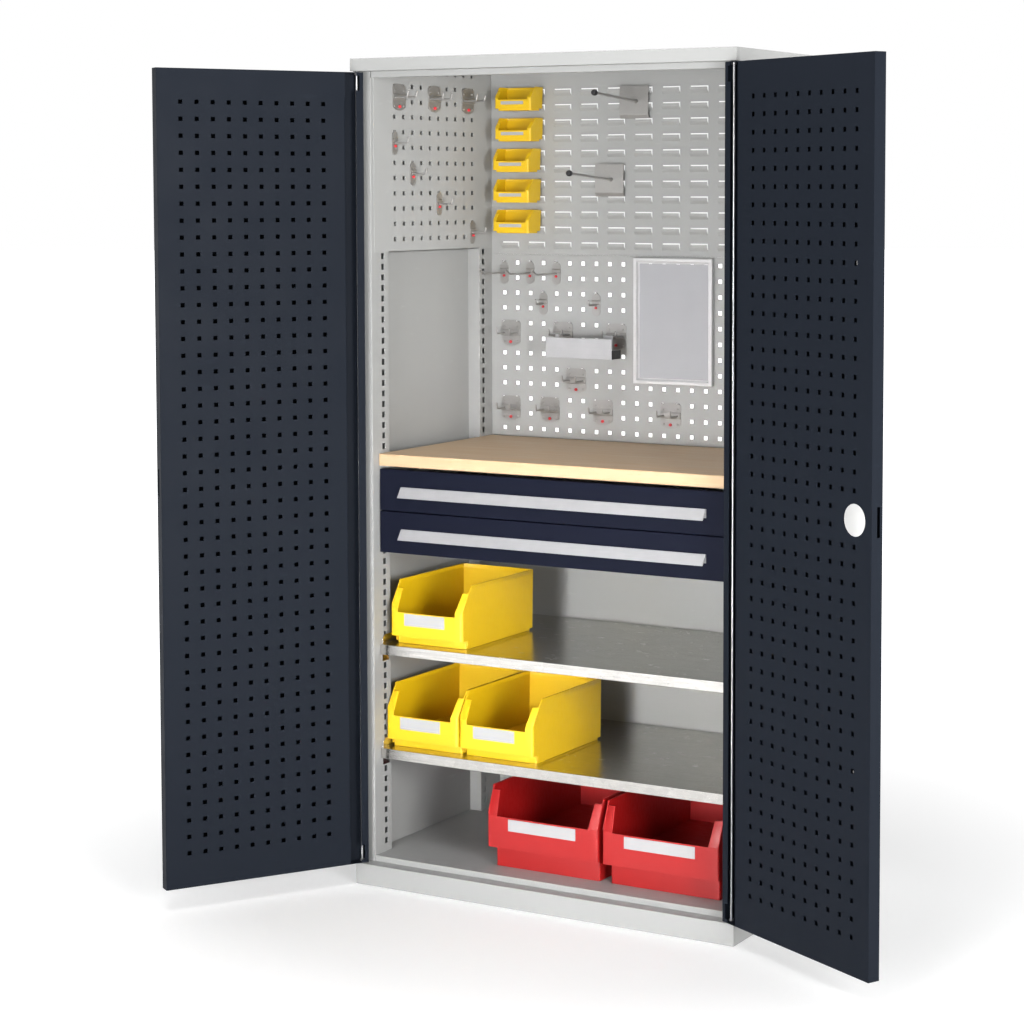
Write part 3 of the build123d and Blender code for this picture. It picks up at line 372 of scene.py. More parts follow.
# ------------------------------------------------------------------ finishes
class Graph:
    """Adds and links the nodes of one material."""

    def __init__(self, name: str) -> None:
        """Start with a Principled shader and the Object coordinates."""
        self.material = bpy.data.materials.new(name)
        self.material.use_nodes = True
        self.tree = self.material.node_tree
        self.tree.nodes.clear()
        output = self.tree.nodes.new("ShaderNodeOutputMaterial")
        self.shader = self.tree.nodes.new("ShaderNodeBsdfPrincipled")
        self.tree.links.new(self.shader.outputs[0], output.inputs["Surface"])
        self.place = self.tree.nodes.new("ShaderNodeTexCoord").outputs["Object"]

    def add(self, kind: str, **values: object) -> bpy.types.Node:
        """New node with its inputs set or linked.

        Args:
            kind: node type.
            values: input name (underscores for spaces) to number, colour or socket.
        Returns:
            The node.
        """
        node = self.tree.nodes.new(kind)
        for key, value in values.items():
            self.put(node.inputs[key.replace("_", " ")], value)
        return node

    def put(self, socket: Socket, value: object) -> None:
        """Link a socket or set its value."""
        if isinstance(value, Socket):
            self.tree.links.new(value, socket)
        else:
            socket.default_value = value

    def stretched(self, scale: Colour) -> Socket:
        """Object coordinates times a scale per axis."""
        node = self.add("ShaderNodeMapping", Vector=self.place)
        node.inputs["Scale"].default_value = scale
        return node.outputs[0]

    def noise(self, scale: float, detail: float = 3.0, stretch: Colour = (1, 1, 1)) -> Socket:
        """Cloudy value from 0 to 1."""
        vector = self.stretched(stretch)
        node = self.add("ShaderNodeTexNoise", Vector=vector, Scale=scale, Detail=detail)
        return node.outputs["Fac"]

    def base(self, value: object) -> None:
        """Set or link the shader's colour."""
        self.put(self.shader.inputs["Base Color"], value)

    def rough(self, value: object) -> None:
        """Set or link the shader's roughness."""
        self.put(self.shader.inputs["Roughness"], value)

    def spread(self, value: Socket, low: float, high: float, start: float, end: float) -> Socket:
        """Value mapped from low..high to start..end and clamped."""
        node = self.add("ShaderNodeMapRange", Value=value)
        for key, number in (("From Min", low), ("From Max", high), ("To Min", start), ("To Max", end)):
            node.inputs[key].default_value = number
        return node.outputs[0]

    def blend(self, factor: Socket, first: object, second: object) -> Socket:
        """Mix of two colours."""
        node = self.tree.nodes.new("ShaderNodeMix")
        node.data_type = "RGBA"
        self.put(node.inputs[0], factor)
        self.put(node.inputs[6], first)
        self.put(node.inputs[7], second)
        return node.outputs[2]

    def bumps(self, *layers: tuple[Socket, float]) -> None:
        """Height layers, each with its depth in metres, one over another on the shader's normal."""
        normal = None
        for height, depth in layers:
            node = self.add("ShaderNodeBump", Height=height, Strength=1.0, Distance=depth)
            if normal is not None:
                self.put(node.inputs["Normal"], normal)
            normal = node.outputs[0]
        self.put(self.shader.inputs["Normal"], normal)


def rgba(colour: Colour, scale: float = 1.0) -> tuple[float, float, float, float]:
    """Colour with a brightness factor and full cover."""
    return (min(colour[0] * scale, 1), min(colour[1] * scale, 1), min(colour[2] * scale, 1), 1.0)


@dataclass(frozen=True)
class Finish:
    """Name and main colour of a surface; subclasses draw it."""

    name: str
    colour: Colour

    def material(self) -> bpy.types.Material:
        """The material, made once."""
        known = bpy.data.materials.get(self.name)
        return known or self.draw(Graph(self.name)).material

    def clouded(self, graph: Graph, cloud: Socket, share: float) -> Socket:
        """Main colour, darker and lighter by a share along a cloudy value."""
        return graph.blend(cloud, rgba(self.colour, 1 - share), rgba(self.colour, 1 + share))

    def draw(self, graph: Graph) -> Graph:
        """Set the shader up; each kind of surface has its own way."""
        raise NotImplementedError


@dataclass(frozen=True)
class PowderCoat(Finish):
    """Satin stove enamel: fine orange peel, faint clouding and a few rubbed places."""

    roughness: float = 0.42
    specular: float = 0.5
    rub: float = 1.25

    def draw(self, graph: Graph) -> Graph:
        """Colour clouds, scuffs, roughness spread and peel bumps."""
        cloud = graph.noise(3.0, 4.0)
        base = self.clouded(graph, cloud, 0.035)
        scuff = graph.noise(14.0, 8.0, (1, 1, 4))
        mask = graph.spread(scuff, 0.66, 0.78, 0.0, 0.35)
        graph.base(graph.blend(mask, base, rgba(self.colour, self.rub)))
        rough = graph.spread(graph.noise(9.0, 5.0), 0.3, 0.7, self.roughness - 0.05, self.roughness + 0.07)
        graph.rough(rough)
        graph.shader.inputs["Specular IOR Level"].default_value = self.specular
        graph.bumps((graph.noise(900.0, 2.0), 0.00005), (graph.noise(5.0, 2.0), 0.0006))
        return graph


@dataclass(frozen=True)
class Galvanised(Finish):
    """Zinc-coated sheet: crystal flakes, rolling streaks and dull smears."""

    roughness: float = 0.14
    streak: Colour = (1.0, 12.0, 12.0)

    def draw(self, graph: Graph) -> Graph:
        """Cells of random tone under streaks drawn out along the sheet."""
        flakes = graph.add("ShaderNodeTexVoronoi", Vector=graph.place, Scale=70.0)
        tone = graph.add("ShaderNodeSeparateColor", Color=flakes.outputs["Color"]).outputs[0]
        streaks = graph.noise(20.0, 6.0, self.streak)
        first = graph.blend(tone, rgba(self.colour, 0.93), rgba(self.colour, 1.06))
        smear = graph.spread(streaks, 0.35, 0.7, 0.0, 0.5)
        graph.base(graph.blend(smear, first, rgba(self.colour, 0.86)))
        rough = graph.add("ShaderNodeMath")
        rough.operation = "ADD"
        graph.put(rough.inputs[0], graph.spread(tone, 0, 1, self.roughness - 0.02, self.roughness + 0.03))
        graph.put(rough.inputs[1], graph.spread(streaks, 0.3, 0.7, 0.0, 0.12))
        graph.rough(rough.outputs[0])
        graph.shader.inputs["Metallic"].default_value = 1.0
        graph.bumps((streaks, 0.0002), (graph.noise(600.0, 2.0), 0.00003))
        return graph


@dataclass(frozen=True)
class BrightMetal(Finish):
    """Plated or anodised metal with fine marks drawn out along one axis."""

    roughness: float = 0.25
    metallic: float = 1.0
    grain: Colour = (1.0, 1.0, 1.0)
    grain_scale: float = 400.0

    def draw(self, graph: Graph) -> Graph:
        """Tone and roughness follow the same fine marks."""
        marks = graph.noise(self.grain_scale, 3.0, self.grain)
        tint = graph.blend(graph.noise(30.0, 3.0), rgba(self.colour, 0.9), rgba(self.colour, 1.06))
        graph.base(tint)
        rough = graph.spread(marks, 0.3, 0.7, self.roughness - 0.05, self.roughness + 0.1)
        graph.rough(rough)
        graph.shader.inputs["Metallic"].default_value = self.metallic
        graph.bumps((marks, 0.00003))
        return graph


@dataclass(frozen=True)
class Beech(Finish):
    """Lacquered beech board: staves along X, drawn-out grain and short dark flecks."""

    dark: Colour = (0.55, 0.33, 0.16)
    stave: float = 0.048

    def draw(self, graph: Graph) -> Graph:
        """Stave tone by place across the board, then grain, then flecks."""
        parts = graph.add("ShaderNodeSeparateXYZ", Vector=graph.place)
        lane = graph.add("ShaderNodeMath")
        lane.operation = "SNAP"
        graph.put(lane.inputs[0], parts.outputs["Y"])
        lane.inputs[1].default_value = self.stave
        tone = graph.add("ShaderNodeTexWhiteNoise")
        tone.noise_dimensions = "1D"
        graph.put(tone.inputs["W"], lane.outputs[0])
        grain = graph.noise(14.0, 7.0, (0.35, 6.0, 6.0))
        flecks = graph.noise(160.0, 3.0, (0.22, 2.2, 2.2))
        share = graph.spread(tone.outputs["Value"], 0, 1, 0.0, 0.45)
        board = graph.blend(share, rgba(self.colour), rgba(self.colour, 0.86))
        board = graph.blend(graph.spread(grain, 0.42, 0.72, 0.0, 0.42), board, rgba(self.dark))
        board = graph.blend(graph.spread(flecks, 0.62, 0.74, 0.0, 0.4), board, rgba(self.dark, 0.9))
        graph.base(board)
        graph.rough(graph.spread(grain, 0.3, 0.7, 0.36, 0.5))
        graph.bumps((grain, 0.0002), (flecks, 0.00006))
        return graph


@dataclass(frozen=True)
class Moulded(Finish):
    """Injection-moulded plastic: slight sheen, fine texture and a few dull scratches."""

    roughness: float = 0.38
    specular: float = 0.5

    def draw(self, graph: Graph) -> Graph:
        """Even colour with faint flow clouds and scratch marks in the roughness."""
        cloud = graph.noise(12.0, 3.0)
        graph.base(self.clouded(graph, cloud, 0.05))
        scratch = graph.noise(60.0, 8.0, (0.4, 3.0, 1.0))
        rough = graph.spread(scratch, 0.35, 0.75, self.roughness - 0.04, self.roughness + 0.16)
        graph.rough(rough)
        graph.shader.inputs["Specular IOR Level"].default_value = self.specular
        graph.bumps((graph.noise(1200.0, 2.0), 0.00003), (cloud, 0.0004))
        return graph


GREY_PAINT = PowderCoat("light grey enamel", (0.315, 0.318, 0.312), 0.42)
PANEL_PAINT = PowderCoat("light grey enamel on hook panels", (0.345, 0.348, 0.342), 0.5)
ANTHRACITE = PowderCoat("anthracite enamel", (0.0088, 0.0115, 0.0172), 0.52, 0.06, 1.6)
DRAWER_BLUE = PowderCoat("slate blue enamel", (0.0055, 0.0068, 0.0150), 0.5, 0.06, 1.5)
ZINC_SHEET = Galvanised("galvanised sheet", (0.60, 0.585, 0.56))
ZINC_ROD = BrightMetal("bright zinc rod", (0.52, 0.525, 0.53), 0.34, 0.9, (1, 1, 0.05))
HOOK_PLATE = BrightMetal("zinc-plated hooks", (0.37, 0.362, 0.35), 0.42, 0.75)
ALUMINIUM = BrightMetal("satin anodised aluminium", (0.42, 0.42, 0.43), 0.5, 0.4, (0.03, 1, 1))
BEECH = Beech("lacquered beech", (0.53, 0.375, 0.225))
YELLOW = Moulded("yellow bin plastic", (0.69, 0.44, 0.0035), 0.4)
RED = Moulded("red bin plastic", (0.33, 0.0045, 0.0045), 0.42)
BLACK = Moulded("black plastic", (0.012, 0.012, 0.014), 0.42)
WHITE = Moulded("white plastic", (0.50, 0.50, 0.495), 0.45)
LABEL = Moulded("blank label card", (0.36, 0.36, 0.365), 0.6, 0.3)
FRAME_SATIN = BrightMetal("satin anodised frame", (0.62, 0.62, 0.625), 0.5, 0.2, (0.03, 1, 1))
PAPER = Moulded("plain drawing paper", (0.385, 0.388, 0.405), 0.75, 0.2)
RED_DOT = Moulded("red retainer plastic", (0.62, 0.03, 0.04), 0.4)


# ------------------------------------------------------------------ objects
@dataclass(frozen=True)
class Ease:
    """Rounding put on a piece's edges, in millimetres."""

    width: float = 0.6
    segments: int = 2
    angle: float = 30.0


def linked(name: str, data: bpy.types.ID) -> Piece:
    """Object of a mesh, lamp or camera, linked to the scene."""
    piece = bpy.data.objects.new(name, data)
    bpy.context.scene.collection.objects.link(piece)
    return piece


def mesh_of(name: str, points: Array, faces: list[list[int]]) -> bpy.types.Mesh:
    """Mesh with its faces turned outwards.

    Args:
        name: mesh name.
        points: corners in metres.
        faces: corner numbers of each face.
    Returns:
        The mesh.
    """
    mesh = bpy.data.meshes.new(name)
    mesh.from_pydata(points.tolist(), [], faces)
    work = bmesh.new()
    work.from_mesh(mesh)
    bmesh.ops.recalc_face_normals(work, faces=work.faces)
    work.to_mesh(mesh)
    work.free()
    return mesh


def dress(piece: Piece, finish: Finish, ease: Ease | None, smooth: float = 35.0) -> None:
    """Give a mesh its material, its shading and its eased edges.

    Args:
        piece: mesh object at the origin.
        finish: surface finish.
        ease: edge rounding, or None.
        smooth: faces that meet at less than this many degrees shade as one.
    """
    piece.data.materials.clear()
    piece.data.materials.append(finish.material())
    piece.data.polygons.foreach_set("use_smooth", np.ones(len(piece.data.polygons), bool))
    piece.data.set_sharp_from_angle(angle=math.radians(smooth))
    if ease:
        bevel = piece.modifiers.new("eased edges", "BEVEL")
        bevel.width = ease.width * MM
        bevel.segments = ease.segments
        bevel.limit_method = "ANGLE"
        bevel.angle_limit = math.radians(ease.angle)
        bevel.use_clamp_overlap = True
        bevel.harden_normals = True


def attach(piece: Piece, node: str, stands_in: bool = True) -> Piece:
    """Make a piece ride with a CAD node's body and, if it stands in for the node, hide that node.

    Args:
        piece: finished object.
        node: CAD node it belongs to.
        stands_in: whether it stands for the node.
    Returns:
        The piece.
    """
    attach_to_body(piece, BODY_OF[node])
    if stands_in:
        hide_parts(node)
    LOG.info("%s: %d faces", piece.name, len(piece.data.polygons))
    return piece


def made(name: str, shape: Shape, finish: Finish, ease: Ease | None = None, smooth: float = 35.0) -> Piece:
    """Mesh object from a shape.

    Args:
        name: object name.
        shape: points in millimetres and faces.
        finish: surface finish.
        ease: edge rounding, or None.
        smooth: shading angle.
    Returns:
        The object, linked to the scene.
    """
    piece = linked(name, mesh_of(name, shape.points * MM, shape.faces))
    dress(piece, finish, ease, smooth)
    return piece


def eased_copy(node: str, finish: Finish, ease: Ease = Ease()) -> Piece:
    """Copy of a CAD node with its triangles joined into faces and its edges eased.

    Args:
        node: CAD node to stand for.
        finish: surface finish.
        ease: edge rounding.
    Returns:
        The piece, riding with the node's body.
    """
    work = bmesh.new()
    work.from_mesh(frame["nodes"][node].data)
    bmesh.ops.remove_doubles(work, verts=work.verts, dist=2e-6)
    bmesh.ops.dissolve_limit(work, angle_limit=math.radians(0.6), verts=work.verts, edges=work.edges)
    mesh = bpy.data.meshes.new(node + "_finished")
    work.to_mesh(mesh)
    work.free()
    piece = linked(node + "_finished", mesh)
    dress(piece, finish, ease)
    return attach(piece, node)


# ------------------------------------------------------------------ carcass
@dataclass
class Carcass:
    """Folded sheet body: base, cap, walls and slotted uprights."""

    width: float = 1000.0
    sheet: float = 1.5
    inner: float = 466.0
    base: float = 50.0
    cap: float = 1921.0
    clear: float = 0.5
    bend: float = 4.0
    bend_reach: float = 2.5
    slot_pitch: float = 25.0
    slot_width: float = 11.5
    slot_height: float = 14.0
    first_slot: float = 40.0
    last_slot: float = 20.0
    channels: tuple[Point, ...] = ((-266.5, -197.0, -221.0), (205.0, 295.5, 224.0))

    def upright(self, front: float, back: float, slot_y: float) -> Shape:
        """One slotted channel of the right side, from its front to its back fold."""
        wall = self.width / 2 - self.sheet
        low, high = self.base + self.clear, self.cap - self.clear
        bend, inner = self.bend, self.inner
        rear = [[inner, back - bend], [inner, back], [wall, back]]
        fore = [[wall, front], [inner, front], [inner, front + bend]]
        outlines = [sheet_outline(line, -self.sheet, self.bend_reach) for line in (rear, fore)]
        folds = [prism(outline, Axis.Z, low, high) for outline in outlines]
        centres = np.arange(self.base + self.first_slot, high - self.last_slot, self.slot_pitch) - low
        plane = Plane((self.inner, front + bend, low), (0, 1, 0), (0, 0, 1), (1, 0, 0))
        across = breaks(0.0, [slot_y - front - bend], self.slot_width, back - front - 2 * bend)
        along = breaks(0.0, centres, self.slot_height, high - low)
        web = pierced_sheet(across, along, np.zeros((1, len(centres)), bool), self.sheet, plane)
        return merged([web] + folds)

    def build(self) -> None:
        """Make every carcass piece."""
        for node in ("plinth", "top_cap"):
            eased_copy(node, GREY_PAINT, Ease(1.6, 3))
        for node in ("floor_panel", "header_rail", "left_side_wall", "right_side_wall", "lower_back_panel"):
            eased_copy(node, GREY_PAINT, Ease(0.7, 2))
        right = merged([self.upright(*channel) for channel in self.channels])
        for node, shape in (("right_uprights", right), ("left_uprights", right.mirrored())):
            attach(made(node + "_slotted", shape, GREY_PAINT), node)


@dataclass
class HookPanels:
    """Perforated and louvred sheets behind and beside the work space."""

    sheet: float = 1.5
    rim: float = 14.0
    split: float = 1484.0
    top: float = 1945.5
    bottom: float = 1025.0
    tongue_width: float = 48.0
    tongue_height: float = 18.0
    side_x: float = 464.5
    side_y: Span = (-256.0, 262.0)
    side_low: float = 1499.0
    rim_box: tuple[Span, Span, Span] = ((464.5, 478.0), (-196.0, 204.0), (1499.0, 1500.5))

    def back_sheet(self, columns: Array, rows: Array, hole: Span, span: Span) -> Shape:
        """Sheet across the back with a raster of holes.

        Args:
            columns: x of the holes' middles.
            rows: z of the holes' middles.
            hole: width and height of a hole.
            span: lower and upper end of the sheet.
        Returns:
            The sheet, with no folds.
        """
        plane = Plane((0, PANEL_Y, 0), (1, 0, 0), (0, 0, 1), (0, 1, 0))
        u = breaks(-HALF_INSIDE, columns, hole[0], HALF_INSIDE)
        v = breaks(span[0], rows, hole[1], span[1])
        return pierced_sheet(u, v, np.zeros((len(columns), len(rows)), bool), self.sheet, plane)

    def fold(self, z: float) -> Shape:
        """Rim folded backwards from the sheet at a height."""
        y = (PANEL_Y + self.sheet, PANEL_Y + self.rim)
        return box((-HALF_INSIDE, HALF_INSIDE), y, (z, z + self.sheet))

    def back(self) -> Shape:
        """Perforated back panel: 23 columns, 12 rows and its two folded rims."""
        columns = BACK_FIRST[0] + PITCH * np.arange(23)
        rows = np.sort(BACK_FIRST[1] - PITCH * np.arange(12))
        sheet = self.back_sheet(columns, rows, (SQUARE, SQUARE), (self.bottom, self.split - 0.5))
        return merged([sheet, self.fold(self.bottom), self.fold(self.split - 2)])

    def tongue(self) -> Array:
        """Closed section (Y, Z) of one pressed tongue, measured from its opening's lower edge."""
        line = np.array([[0.0, 0.0], [-2.0, 3.0], [-7.0, 8.0], [-7.0, 15.0]]) + [PANEL_Y, 0.0]
        return sheet_outline(line, -self.sheet, 4.0)

    def louvred(self) -> Shape:
        """Upper panel: 11 by 11 pressed tongues, open above and at both ends."""
        columns = LOUVRE_FIRST[0] + 2 * PITCH * np.arange(11)
        rows = LOUVRE_FIRST[1] + PITCH * np.arange(11)
        width, height = self.tongue_width, self.tongue_height
        sheet = self.back_sheet(columns, rows - height / 2, (width, height), (self.split, self.top))
        one = prism(self.tongue(), Axis.X, -width / 2, width / 2)
        tongues = [one.moved(dx=x, dz=z - height) for z in rows for x in columns]
        return merged([sheet, self.fold(self.split)] + tongues)

    def side(self) -> Shape:
        """Right-hand side panel hooked over the uprights: 10 columns, 12 rows, folded lower rim."""
        columns = SIDE_FIRST[0] + PITCH * np.arange(10)
        rows = SIDE_FIRST[1] + SIDE_PITCH * np.arange(12)
        plane = Plane((self.side_x, 0, 0), (0, 1, 0), (0, 0, 1), (1, 0, 0))
        u = breaks(self.side_y[0], columns, SQUARE, self.side_y[1])
        v = breaks(self.side_low, rows, SQUARE, self.top)
        sheet = pierced_sheet(u, v, np.zeros((10, 12), bool), self.sheet, plane)
        return sheet.joined(box(*self.rim_box))

    def build(self) -> None:
        """Make the four panels."""
        attach(made("perforated_back_sheet", self.back(), PANEL_PAINT), "perforated_back_panel")
        attach(made("louvred_back_sheet", self.louvred(), PANEL_PAINT, None, 50.0), "louvred_back_panel")
        side = self.side()
        attach(made("right_side_hook_sheet", side, PANEL_PAINT), "right_side_hook_panel")
        attach(made("left_side_hook_sheet", side.mirrored(), PANEL_PAINT), "left_side_hook_panel")


# ------------------------------------------------------------------ worktop, drawers, shelves
@dataclass
class Worktop:
    """Beech board on two bearers."""

    front: float = -243.0
    back: float = 263.0
    top: float = 1024.0
    thickness: float = 29.0

    def build(self) -> None:
        """Make the board with softened long edges and its bearers."""
        section = rectangle((self.front, self.back), (self.top - self.thickness, self.top))
        outline = eased_loop(section, 3.0, 4)
        board = prism(outline, Axis.X, -HALF_INSIDE, HALF_INSIDE)
        attach(made("beech_worktop", board, BEECH, Ease(1.0, 2, 50)), "worktop")
        eased_copy("worktop_bearers", GREY_PAINT)


@dataclass
class DrawerStack:
    """Two full-width drawers on telescopic runners."""

    names: tuple[str, ...] = ("upper", "lower")

    def build(self) -> None:
        """Make plates, runners, boxes, fronts and grips."""
        eased_copy("drawer_side_plates", GREY_PAINT)
        eased_copy("runner_outer_members", ZINC_SHEET, Ease(0.4))
        for name in self.names:
            eased_copy(f"{name}_drawer_box", GREY_PAINT, Ease(0.5))
            eased_copy(f"{name}_drawer_front", DRAWER_BLUE, Ease(0.8, 3))
            eased_copy(f"{name}_drawer_handle", ALUMINIUM, Ease(0.4))
            eased_copy(f"{name}_runner_middle_members", ZINC_SHEET, Ease(0.4))


@dataclass
class Shelving:
    """Two galvanised shelves on clips."""

    names: tuple[str, ...] = ("upper", "lower")

    def build(self) -> None:
        """Make shelves and clips."""
        for name in self.names:
            eased_copy(f"{name}_shelf", ZINC_SHEET, Ease(1.2, 3))
        eased_copy("shelf_brackets", ZINC_SHEET, Ease(0.4))


# ------------------------------------------------------------------ doors
class Side(Enum):
    """Which door; the value is the sign of its hinge's x and its resting angle."""

    LEFT = (-1, 122.3)
    RIGHT = (1, 152.6)


@dataclass
class Doors:
    """Two hinged doors with perforated inner plates and the turn lock in the right one."""

    pivot_x: float = 489.0
    pivot_y: float = -289.0
    outer: float = 498.5
    width: float = 497.5
    sheet: float = 1.2
    front: float = -300.0
    thickness: float = 28.0
    low: float = 53.0
    high: float = 1918.0
    first_column: float = 100.0
    top_row: float = 1843.0
    raster: tuple[int, int] = (10, 46)
    lock_columns: tuple[int, int] = (0, 1)
    lock_rows: tuple[int, int] = (22, 23)
    channel_width: float = 46.0
    channel_end: float = 60.0
    bar_x: float = 54.0
    bar_gap: float = 4.6
    fold_depth: float = 12.0
    notch_depth: float = 5.4

    def swung(self, shape: Shape, side: Side) -> Shape:
        """Shape of the shut right-hand door, taken to where that door rests."""
        sign, angle = side.value
        if sign > 0:
            return shape.turned_about_z(angle, (self.pivot_x, self.pivot_y))
        return shape.mirrored().turned_about_z(-angle, (-self.pivot_x, self.pivot_y))

    def plate(self, side: Side) -> Shape:
        """Perforated inner plate, its folded channel side and its end folds, notched for the lock bars."""
        back = self.front + self.thickness
        x0 = self.outer - self.width + self.sheet
        x1 = self.outer - self.channel_width
        z0, z1 = self.low + self.sheet, self.high - self.sheet
        columns = np.sort(self.outer - self.first_column - PITCH * np.arange(self.raster[0]))
        rows = np.sort(self.top_row - PITCH * np.arange(self.raster[1]))
        closed = np.zeros(self.raster, bool)
        if side is Side.RIGHT:
            closed[np.ix_(self.lock_columns, self.lock_rows)] = True
        plane = Plane((0, back, 0), (1, 0, 0), (0, 0, 1), (0, -1, 0))
        u = breaks(x0, columns, SQUARE, x1 - 4.0)
        field_sheet = pierced_sheet(u, breaks(z0, rows, SQUARE, z1), closed, self.sheet, plane)
        skin = self.front + self.sheet
        fold = [[x1 - 4.0, back], [x1, back], [x1, skin], [x1 - 16.0, skin]]
        low, high = z0 + self.channel_end, z1 - self.channel_end
        channel = prism(sheet_outline(fold, -self.sheet, 3.0), Axis.Z, low, high)
        gap = (self.bar_x - self.bar_gap, self.bar_x + self.bar_gap)
        deep = self.fold_depth
        runs = (((x0, gap[0]), deep), (gap, self.notch_depth), ((gap[1], x1 - 30), deep))
        ends = [
            box(span, (back - depth, back - self.sheet), (z, z + self.sheet))
            for z in (z0, z1 - self.sheet)
            for span, depth in runs
        ]
        tips = [box((x1 - 4.0, x1), (back - self.sheet, back), span) for span in ((z0, low), (high, z1))]
        return merged([field_sheet, channel] + ends + tips)

    def build(self) -> None:
        """Make pans, plates, rods, bushes and the lock."""
        for side in Side:
            name = side.name.lower()
            eased_copy(f"{name}_door_pan", ANTHRACITE, Ease(1.0, 3))
            plate = made(f"{name}_door_perforated_plate", self.swung(self.plate(side), side), ANTHRACITE)
            attach(plate, f"{name}_door_hook_plate")
            eased_copy(f"{name}_hinge_rod", ZINC_ROD, Ease(0.3))
        eased_copy("hinge_bushes", BLACK, Ease(0.3))
        eased_copy("lock_body", BLACK, Ease(0.4))
        eased_copy("lock_knob", BLACK, Ease(0.8, 3))
        eased_copy("lock_cam", ZINC_SHEET, Ease(0.3))
        for node in ("upper_lock_bar", "lower_lock_bar", "lock_bar_guides"):
            eased_copy(node, ZINC_SHEET, Ease(0.3))
        eased_copy("lock_cover", WHITE, Ease(0.4))


# ------------------------------------------------------------------ wall fittings
@dataclass(frozen=True)
class Hook:
    """A domed hook plate with bent arms; its upper lug sits at the local origin, facing -Y."""

    width: float
    top: float
    shoulder: float
    hip: float
    foot: float
    bead: Span
    button_z: float
    button: float
    reach: float
    tip_out: float
    tip_up: float
    columns: tuple[float, ...]
    arm_z: float = -26.0
    wire: float = 2.4
    sheet: float = 1.5

    @property
    def centre(self) -> float:
        """Middle of the plate, between its holes."""
        return sum(self.columns) / len(self.columns)

    def arch(self, ends: float, crown: float) -> Array:
        """Arc over the plate's width.

        The height is ends + sqrt(R^2 - x^2) - (R - rise), with R taken from the chord.
        """
        half, rise = self.width / 2, abs(crown - ends)
        radius = (half**2 + rise**2) / (2 * rise)
        x = half * np.cos(np.linspace(0.0, np.pi, 15))
        z = ends + np.sign(crown - ends) * (np.sqrt(radius**2 - x**2) - (radius - rise))
        return np.column_stack([self.centre + x, z])

    def plate(self) -> Shape:
        """Plate with its raised bead and pressed dimples below the lugs."""
        half = self.width / 2
        outline = np.concatenate([self.arch(self.shoulder, self.top), self.arch(self.hip, self.foot)[::-1]])
        low, high = self.bead
        bead = np.array([[-self.sheet, high], [-3.4, high - 2.6], [-3.4, low + 2.6], [-self.sheet, low]])
        parts = [
            prism(outline, Axis.Y, -self.sheet, -0.05),
            prism(eased_loop(bead, 0.8, 3), Axis.X, self.centre - half + 0.4, self.centre + half - 0.4),
        ]
        cap = [[0.1, 1.5], [1.6, 1.2], [2.7, 0.5], [3.1, 0.0]]
        dimpled = self.columns if len(self.columns) > 1 else ()
        for x, z in [(x, z) for x in dimpled for z in (-10.0, self.button_z + 1)]:
            parts.append(turned(cap, np.array([x, -self.sheet, z]), TOWARDS_FRONT, 12))
        return merged(parts)

    def arms(self) -> Shape:
        """Round wires that run out and turn up."""
        end = -self.reach
        tip = (end - self.tip_out, self.arm_z + self.tip_up)
        runs = [[[x, -1.4, self.arm_z], [x, end, self.arm_z], [x, *tip]] for x in self.columns]
        return merged([wire(np.array(run), self.wire, 4.0, TOWARDS_RIGHT) for run in runs])

    def lugs(self) -> Shape:
        """Hanging lugs that pass the square holes and turn up behind the sheet."""
        parts = []
        for x in self.columns:
            parts.append(box((x - 3, x + 3), (-0.5, 2.1), (-4, 4)))
            parts.append(box((x - 3, x + 3), (2.1, 3.9), (-4, 8)))
        return merged(parts)

    def dot(self) -> Shape:
        """Red retaining button near the lower edge."""
        b = self.button
        cap = [[0.1, 5.0], [0.6 * b, 4.8], [0.88 * b, 4.0], [b, 2.8], [b, 0.0]]
        return turned(cap, np.array([self.centre, -self.sheet, self.button_z]), TOWARDS_FRONT, 18)


DOUBLE_HOOK = Hook(56, 6, 0, -48, -58, (-34, -17), -48, 3.8, 37, 3, 13, (0.0, 38.0))
SINGLE_HOOK = Hook(24, 2, -8, -43, -54, (-26, -14), -33, 3.2, 37, 3, 11, (0.0,))
LONG_HOOK = replace(SINGLE_HOOK, reach=98, tip_out=20, tip_up=11)


